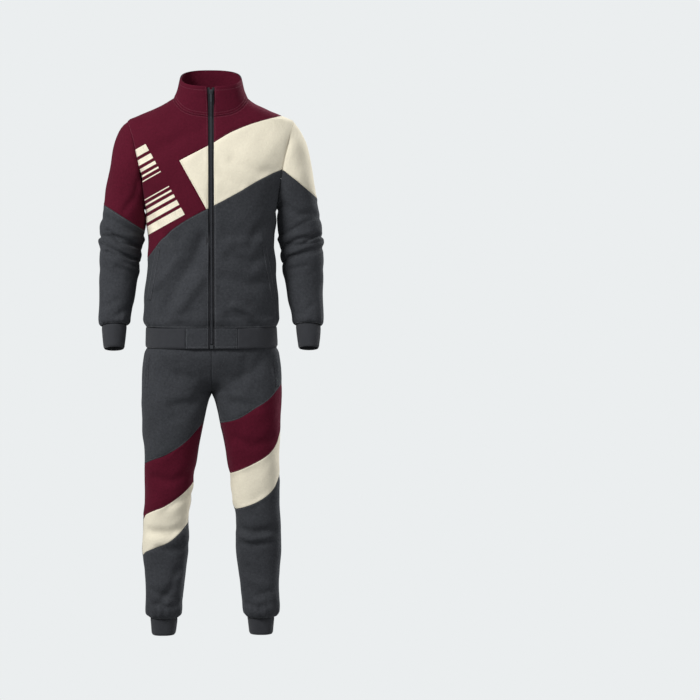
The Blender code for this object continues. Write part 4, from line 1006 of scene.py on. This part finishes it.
def repeated(name, slot, places, shape, size):
    """One mesh of small shapes, one at each place, made by a Geometry Nodes tree."""
    points, along, outward = places
    mesh = bpy.data.meshes.new(name)
    mesh.from_pydata(to_frame(points).tolist(), [], [])
    for label, values in (("along", along), ("outward", outward)):
        values = values / np.linalg.norm(values, axis=-1, keepdims=True)
        attribute = mesh.attributes.new(label, "FLOAT_VECTOR", "POINT")
        attribute.data.foreach_set("vector", values.ravel())
    carrier = placed(name + "_places", mesh)

    tree = bpy.data.node_groups.new(name, "GeometryNodeTree")
    tree.interface.new_socket("Places", in_out="INPUT", socket_type="NodeSocketGeometry")
    tree.interface.new_socket("Size", in_out="INPUT", socket_type="NodeSocketVector")
    tree.interface.new_socket("Finish", in_out="INPUT", socket_type="NodeSocketMaterial")
    tree.interface.new_socket("Shapes", in_out="OUTPUT", socket_type="NodeSocketGeometry")
    given = node(tree, "NodeGroupInput").outputs
    if shape == "stitch":
        one = node(tree, "GeometryNodeMeshIcoSphere", {"Radius": 0.5, "Subdivisions": 1})
    else:
        one = node(tree, "GeometryNodeMeshCube")
    sized = node(tree, "GeometryNodeTransform", {"Geometry": one.outputs["Mesh"], "Scale": given["Size"]})
    along = node(tree, "GeometryNodeInputNamedAttribute", {"Name": "along"}, data_type="FLOAT_VECTOR")
    out = node(tree, "GeometryNodeInputNamedAttribute", {"Name": "outward"}, data_type="FLOAT_VECTOR")
    turn = node(tree, "FunctionNodeAxesToRotation",
                {"Primary Axis": along.outputs["Attribute"], "Secondary Axis": out.outputs["Attribute"]},
                primary_axis="X", secondary_axis="Z")
    vary = node(tree, "FunctionNodeRandomValue", {"Seed": 7}, data_type="FLOAT_VECTOR")
    vary.inputs["Min"].default_value = (0.94, 0.9, 0.9)
    vary.inputs["Max"].default_value = (1.0, 1.1, 1.1)
    spot = node(tree, "GeometryNodeInstanceOnPoints",
                {"Points": given["Places"], "Instance": sized.outputs["Geometry"],
                 "Rotation": turn.outputs["Rotation"], "Scale": vary.outputs["Value"]})
    real = node(tree, "GeometryNodeRealizeInstances", {"Geometry": spot.outputs["Instances"]})
    finish = node(tree, "GeometryNodeSetMaterial",
                  {"Geometry": real.outputs["Geometry"], "Material": given["Finish"]})
    node(tree, "NodeGroupOutput", {"Shapes": finish.outputs["Geometry"]})

    modifier = carrier.modifiers.new("repeat", "NODES")
    modifier.node_group = tree
    for item in tree.interface.items_tree:
        if item.name == "Size":
            modifier[item.identifier] = [s / 1000 for s in size]
        elif item.name == "Finish":
            modifier[item.identifier] = MATERIALS[slot] if slot in MATERIALS else None
    graph = bpy.context.evaluated_depsgraph_get()
    made = bpy.data.meshes.new_from_object(carrier.evaluated_get(graph))
    bpy.data.objects.remove(carrier)
    obj = placed(name, made)
    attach(obj, BODY)
    return obj


def make_stitches():
    rows = {}
    for thread, name, edge, inset in STITCH_ROWS:
        line, outward = beside_edge(name, edge, inset)
        line = line + outward * (TRIM_CLOTH if "pocket" in name else 0)
        rows.setdefault(thread, []).append(evenly(line, outward, STITCH_PITCH))
    line, outward = from_front("leg_left_thigh", straight(*FLY))
    rows["charcoal_thread"].append(evenly(line, outward, STITCH_PITCH))
    for thread, parts in rows.items():
        places = [np.concatenate(p) for p in zip(*parts)]
        places[0] = places[0] - places[2] * STITCH_SINK
        made = repeated("stitches_" + thread, thread, places, "stitch", STITCH_SIZE)


def zip_line():
    """The centre front from the hem to the top of the collar, as points."""
    body = torso(0, np.linspace(HEM, 1450, 200)[:-1])
    return np.concatenate([body, collar(0, np.linspace(0, 1, 30))])


def make_zip():
    edge = float(zip_edge(FRONT_NECKLINE.rows[0, 1], ZIP_OPENING))
    strip = float(zip_edge(FRONT_NECKLINE.rows[0, 1], STRIP_END))
    heights = np.arange(HEM + 1, FRONT_NECKLINE.rows[0, 1] - 1, 6.0)
    share = np.linspace(0, TAPE_TOP, 20)
    for side, name in ((1, "left"), (-1, "right")):
        near, far = (
            np.concatenate([torso(side * zip_edge(heights, x), heights), collar(side * e, share)])
            for x, e in ((ZIP_OPENING, edge), (STRIP_END, strip))
        )
        slope = (far - near) / (far[:, :1] - near[:, :1])
        across = side * np.array(TAPE_COLUMNS)
        points = near[:, None] + slope[:, None] * (across[None, :, None] - near[:, None, :1])
        points[:, :, 1] += 0.1 * (np.abs(across) - TAPE_INNER)
        make_cloth("zip_tape_" + name, "zip_tape", points, out=side, ripple=0, thickness=TAPE_CLOTH,
                   sunk=CLOTH + SEAM, dip=0.2, roll=0.6)

    line = zip_line()
    line = line[(line[:, 2] > HEM + 12) & (line[:, 2] < SLIDER_HEIGHT - 3)]
    outward = np.cross([1.0, 0, 0], np.gradient(line, axis=0))
    outward /= np.linalg.norm(outward, axis=-1, keepdims=True)
    parts = []
    for side in (-1, 1):
        shifted = line - outward * TOOTH_SINK + [side * TOOTH_ASIDE, 0, 0]
        points, along, normals = evenly(shifted, outward, TOOTH_PITCH, start=TOOTH_PITCH * (side + 1) / 4)
        parts.append((points, np.tile([1.0, 0, 0], (len(points), 1)), normals))
    places = [np.concatenate(p) for p in zip(*parts)]
    teeth = repeated("zip_teeth", "zip_tooth", places, "tooth", TOOTH_SIZE)
    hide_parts("zip_chain")
    for name in ("zip_slider", "zip_pull", "zip_box"):
        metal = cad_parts[name]
        metal.data.materials.clear()
        metal.data.materials.append(MATERIALS["zip_metal"])
        bevel = metal.modifiers.new("edges", "BEVEL")
        bevel.width, bevel.segments, bevel.limit_method = 0.0003, 2, "ANGLE"


def shader(name, roughness, specular=0.3, sheen=0.0, metallic=0.0, tint=(1, 1, 1)):
    """A new material with these values the same all over, its node tree and its surface node."""
    material = bpy.data.materials.new(name)
    material.use_nodes = True
    tree = material.node_tree
    surface = tree.nodes["Principled BSDF"]
    for socket, value in (
        ("Roughness", roughness),
        ("Specular IOR Level", specular),
        ("Sheen Weight", sheen),
        ("Sheen Roughness", 0.4),
        ("Sheen Tint", (*tint, 1)),
        ("Metallic", metallic),
    ):
        surface.inputs[socket].default_value = value
    return material, tree, surface


def in_object(tree):
    return node(tree, "ShaderNodeTexCoord").outputs["Object"]


def on_cloth(tree):
    """Metres across and up the panel, from the map that make_cloth gives it."""
    return node(tree, "ShaderNodeUVMap", uv_map="cloth").outputs["UV"]


def paint(tree, surface, colour, tone):
    """Give the surface this colour, made lighter or darker by the tone."""
    tree.links.new(shaded(tree, colour, tone), surface.inputs["Base Color"])


def noise(tree, place, scale, detail=2.0):
    sockets = {"Vector": place, "Scale": scale, "Detail": detail}
    return node(tree, "ShaderNodeTexNoise", sockets).outputs["Fac"]


def maths(tree, operation, a, b=0.0, c=0.0):
    made = node(tree, "ShaderNodeMath", {0: a, 1: b, 2: c}, operation=operation)
    return made.outputs[0]


def shaded(tree, colour, amount):
    """The colour made lighter or darker by an amount that is 1 where nothing changes."""
    return node(tree, "ShaderNodeVectorMath", {0: colour, "Scale": amount}, operation="SCALE").outputs[0]


def stretch(tree, value, low, high, to_low, to_high):
    """The value carried from the range low to high into the range to_low to to_high."""
    sockets = {"Value": value, "From Min": low, "From Max": high, "To Min": to_low, "To Max": to_high}
    return node(tree, "ShaderNodeMapRange", sockets).outputs["Result"]


def mixed(tree, factor, a, b):
    made = node(tree, "ShaderNodeMix", data_type="RGBA")
    for socket, value in ((made.inputs[0], factor), (made.inputs[6], a), (made.inputs[7], b)):
        if isinstance(value, bpy.types.NodeSocket):
            tree.links.new(value, socket)
        else:
            socket.default_value = value
    return made.outputs[2]


def bump(tree, height, distance, below=None):
    """Relief that stands this many metres high for a height of 1, over the relief below."""
    sockets = {"Height": height, "Distance": distance, "Strength": 1.0}
    if below is not None:
        sockets["Normal"] = below
    return node(tree, "ShaderNodeBump", sockets).outputs["Normal"]


def make_fleece(name, colour, heather, tint, graphic=False):
    """Brushed fleece: a mottled knit with a soft pile.

    heather is how far light and dark fibres differ, and tint is the colour of the pile's sheen.
    """
    material, tree, surface = shader(name, roughness=0.92, specular=0.08, sheen=0.12, tint=tint)
    place = in_object(tree)
    flat = on_cloth(tree)
    knit = node(tree, "ShaderNodeMapping", {"Vector": flat, "Scale": (1.0, 0.3, 1.0)}).outputs["Vector"]
    wales = noise(tree, knit, 900, 1.0)
    pile = noise(tree, place, 1300, 2.0)
    tufts = noise(tree, place, 380, 3.0)
    mottle = noise(tree, place, 150, 4.0)
    wear = noise(tree, place, 11, 3.0)
    base = chest_stripes(tree, place, colour) if graphic else colour
    tone = stretch(tree, wear, 0.3, 0.7, 1 - 0.5 * heather, 1 + 0.5 * heather)
    for fibres, share in ((mottle, 1.0), (tufts, 0.9), (wales, 0.6)):
        tone = maths(tree, "ADD", tone, stretch(tree, fibres, 0.3, 0.7, -share * heather, share * heather))
    paint(tree, surface, base, tone)
    soft = bump(tree, tufts, 0.0006, bump(tree, mottle, 0.0009))
    knitted = bump(tree, wales, 0.0004, soft)
    tree.links.new(bump(tree, pile, 0.00035, knitted), surface.inputs["Normal"])
    return material


# Own stripes of the wearer's right chest: how far above the diagonal seam each starts and ends
CHEST_STRIPES = [
    (24, 46), (55, 70), (79, 88), (97, 102), (111, 114),
    (158, 161), (170, 175), (184, 193), (202, 217), (226, 246),
]
# Their slope, a point at the foot of the lowest and how far they stop from the inset's slant
STRIPE_SLOPE, STRIPE_FOOT = 0.55, (-126, 1124)
STRIPE_CLEAR = 59.0


def chest_stripes(tree, place, colour):
    """A set of slanting cream stripes on the wearer's right front."""
    split = node(tree, "ShaderNodeSeparateXYZ", {"Vector": place})
    x = maths(tree, "MULTIPLY", split.outputs["X"], 1000.0)
    height = maths(tree, "MULTIPLY_ADD", split.outputs["Z"], 1000.0, NECK_HEIGHT)

    def beyond(across, up, x0, h0):
        """Millimetres past a line through x0, h0, in the direction given."""
        size = math.hypot(across, up)
        gone = maths(tree, "MULTIPLY_ADD", x, across / size, -(across * x0 + up * h0) / size)
        return maths(tree, "MULTIPLY_ADD", height, up / size, gone)

    def within(value, low, high):
        over, under = maths(tree, "GREATER_THAN", value, low), maths(tree, "LESS_THAN", value, high)
        return maths(tree, "MULTIPLY", over, under)

    past_slant = beyond(INSET_POINT[1] - INSET_FOOT_LEVEL, INSET_FOOT - INSET_POINT[0], *INSET_POINT)
    above_seam = beyond(-STRIPE_SLOPE, 1, *STRIPE_FOOT)
    left_of_strip = maths(tree, "LESS_THAN", past_slant, -STRIPE_CLEAR)
    total = None
    for low, high in CHEST_STRIPES:
        stripe = within(above_seam, low, high)
        total = stripe if total is None else maths(tree, "ADD", total, stripe)
    cream = maths(tree, "MULTIPLY", total, left_of_strip)
    return mixed(tree, cream, (*colour, 1), (*COLOURS["cream"], 1))


def make_rib(name, colour):
    """Rib knit: fine upright ribs, whose colour is painted darker in the grooves as painted shade and
    slightly lighter on the crests as painted light.
    """
    material, tree, surface = shader(name, roughness=0.9, specular=0.15, sheen=0.1)
    place = in_object(tree)
    across = node(tree, "ShaderNodeSeparateXYZ", {"Vector": on_cloth(tree)}).outputs["X"]
    wander = maths(tree, "MULTIPLY_ADD", noise(tree, place, 40), 0.0006, across)
    ribs = maths(tree, "SINE", maths(tree, "MULTIPLY", wander, 2 * math.pi / 0.0031))
    mottle = stretch(tree, noise(tree, place, 50, 3.0), 0.3, 0.7, -0.05, 0.05)
    # painted shade and light: the rib wave darkens the colour in the grooves and lightens it a little on
    # the crests; the mottle added to it is random tone
    tone = maths(tree, "ADD", stretch(tree, ribs, -1, 1, 0.8, 1.06), mottle)
    paint(tree, surface, colour, tone)
    raised = bump(tree, ribs, 0.00035)
    tree.links.new(bump(tree, noise(tree, place, 1300, 2.0), 0.0003, raised), surface.inputs["Normal"])
    return material


def make_tape(name, colour):
    """Woven zip tape with fine slanting ridges, its colour painted darker in the furrows as painted shade
    and lighter on the ridges as painted light.
    """
    material, tree, surface = shader(name, roughness=0.7, specular=0.3, sheen=0.05)
    split = node(tree, "ShaderNodeSeparateXYZ", {"Vector": on_cloth(tree)})
    slant = maths(tree, "ADD", maths(tree, "ABSOLUTE", split.outputs["X"]), split.outputs["Y"])
    weave = maths(tree, "SINE", maths(tree, "MULTIPLY", slant, 2 * math.pi / 0.0016))
    # painted shade and light: the weave's ridge wave darkens the colour in its furrows and lightens it on
    # its ridges
    paint(tree, surface, colour, stretch(tree, weave, -1, 1, 0.8, 1.1))
    tree.links.new(bump(tree, weave, 0.0002), surface.inputs["Normal"])
    return material


def make_thread(name, colour):
    material, tree, surface = shader(name, roughness=0.6, specular=0.35, sheen=0.1)
    place = in_object(tree)
    tone = stretch(tree, noise(tree, place, 400, 2.0), 0.3, 0.7, 0.9, 1.1)
    paint(tree, surface, colour, tone)
    return material


def make_metal(name, colour, roughness, metallic):
    """Dark coated metal or moulded plastic with faint scratches."""
    material, tree, surface = shader(name, roughness=roughness, specular=0.5, metallic=metallic)
    place = in_object(tree)
    scratch = node(tree, "ShaderNodeMapping", {"Vector": place, "Scale": (1.0, 1.0, 0.15)})
    wear = noise(tree, scratch.outputs["Vector"], 2500, 3.0)
    tone = stretch(tree, wear, 0.3, 0.7, 0.85, 1.15)
    paint(tree, surface, colour, tone)
    rubbed = stretch(tree, wear, 0.3, 0.7, roughness - 0.06, roughness + 0.08)
    tree.links.new(rubbed, surface.inputs["Roughness"])
    tree.links.new(bump(tree, noise(tree, place, 900, 2.0), 0.00004), surface.inputs["Normal"])
    return material


COLOURS = {
    "charcoal": (0.045, 0.0475, 0.053),
    "maroon": (0.086, 0.0069, 0.0186),
    "cream": (0.86, 0.80, 0.64),
    "rib": (0.046, 0.048, 0.054),
    "tape": (0.022, 0.023, 0.027),
}


def make_materials():
    wine = (0.9, 0.25, 0.4)
    finishes = {
        "charcoal_fleece": (make_fleece, COLOURS["charcoal"], 0.14, (0.75, 0.8, 0.85)),
        "maroon_fleece": (make_fleece, COLOURS["maroon"], 0.09, wine),
        "cream_fleece": (make_fleece, COLOURS["cream"], 0.022, (1.0, 0.95, 0.85)),
        "chest_fleece": (make_fleece, COLOURS["maroon"], 0.07, wine, True),
        "charcoal_rib": (make_rib, COLOURS["rib"]),
        "zip_tape": (make_tape, COLOURS["tape"]),
        "charcoal_thread": (make_thread, (0.135, 0.14, 0.15)),
        "maroon_thread": (make_thread, (0.22, 0.045, 0.075)),
        "cream_thread": (make_thread, (0.60, 0.54, 0.41)),
        "zip_tooth": (make_metal, (0.05, 0.053, 0.062), 0.36, 0.0),
        "zip_metal": (make_metal, (0.10, 0.105, 0.115), 0.34, 0.9),
    }
    return {name: make(name, *finish) for name, (make, *finish) in finishes.items()}


BACKGROUND = (0.8308, 0.855, 0.8632, 1)


def make_floor():
    size, low = 12.0, -NECK_HEIGHT / 1000 - 0.003
    mesh = bpy.data.meshes.new("floor")
    corners = [(-size, -size, low), (size, -size, low), (size, size, low), (-size, size, low)]
    mesh.from_pydata(corners, [], [(0, 1, 2, 3)])
    material = bpy.data.materials.new("pale_floor")
    material.use_nodes = True
    tree = material.node_tree
    tree.nodes.clear()
    glow = node(tree, "ShaderNodeEmission", {"Color": BACKGROUND, "Strength": 1.0})
    node(tree, "ShaderNodeOutputMaterial", {"Surface": glow.outputs[0]})
    mesh.materials.append(material)
    floor = placed("floor", mesh)
    floor.visible_diffuse = floor.visible_glossy = False


def make_light():
    world = bpy.data.worlds.new("studio")
    bpy.context.scene.world = world
    world.use_nodes = True
    tree = world.node_tree
    tree.nodes.clear()
    seen = node(tree, "ShaderNodeBackground", {"Color": BACKGROUND, "Strength": 1.0})
    fill = node(tree, "ShaderNodeBackground", {"Color": (0.97, 0.98, 1.0, 1), "Strength": 0.34})
    rays = node(tree, "ShaderNodeLightPath").outputs["Is Camera Ray"]
    both = node(tree, "ShaderNodeMixShader", {0: rays, 1: fill.outputs[0], 2: seen.outputs[0]})
    node(tree, "ShaderNodeOutputWorld", {"Surface": both.outputs[0]})
    for name, place, size, power in (
        ("key", (-3.3, -3.0, 2.3), 1.6, 245.0),
        ("side", (3.4, -2.4, 0.3), 2.6, 26.0),
        ("back", (3.0, 3.2, 2.3), 1.8, 235.0),
    ):
        light = bpy.data.lights.new(name, "AREA")
        light.size, light.energy = size, power
        lamp = placed(name, light)
        lamp.location = place
        lamp.rotation_euler = (Vector((0, 0, -0.7)) - lamp.location).to_track_quat("-Z", "Y").to_euler()
    bpy.context.scene.view_settings.view_transform = "Standard"


def make_camera():
    data = bpy.data.cameras.new("camera")
    data.lens, data.sensor_width = 128.5, 36.0
    camera = placed("camera", data)
    camera.location = (0, -7.0, -0.326)
    aim = Vector((0.3883, 0, -0.704)) - camera.location
    camera.rotation_euler = aim.to_track_quat("-Z", "Y").to_euler()
    bpy.context.scene.camera = camera


MATERIALS = make_materials()
make_fronts()
make_back()
make_hem()
make_sleeves()
make_cuffs()
make_collar()
make_trousers()
make_pockets()
make_zip()
make_stitches()
bpy.data.objects["cloth_front_right_upper"].data.materials[0] = MATERIALS["chest_fleece"]
make_floor()
make_light()
make_camera()
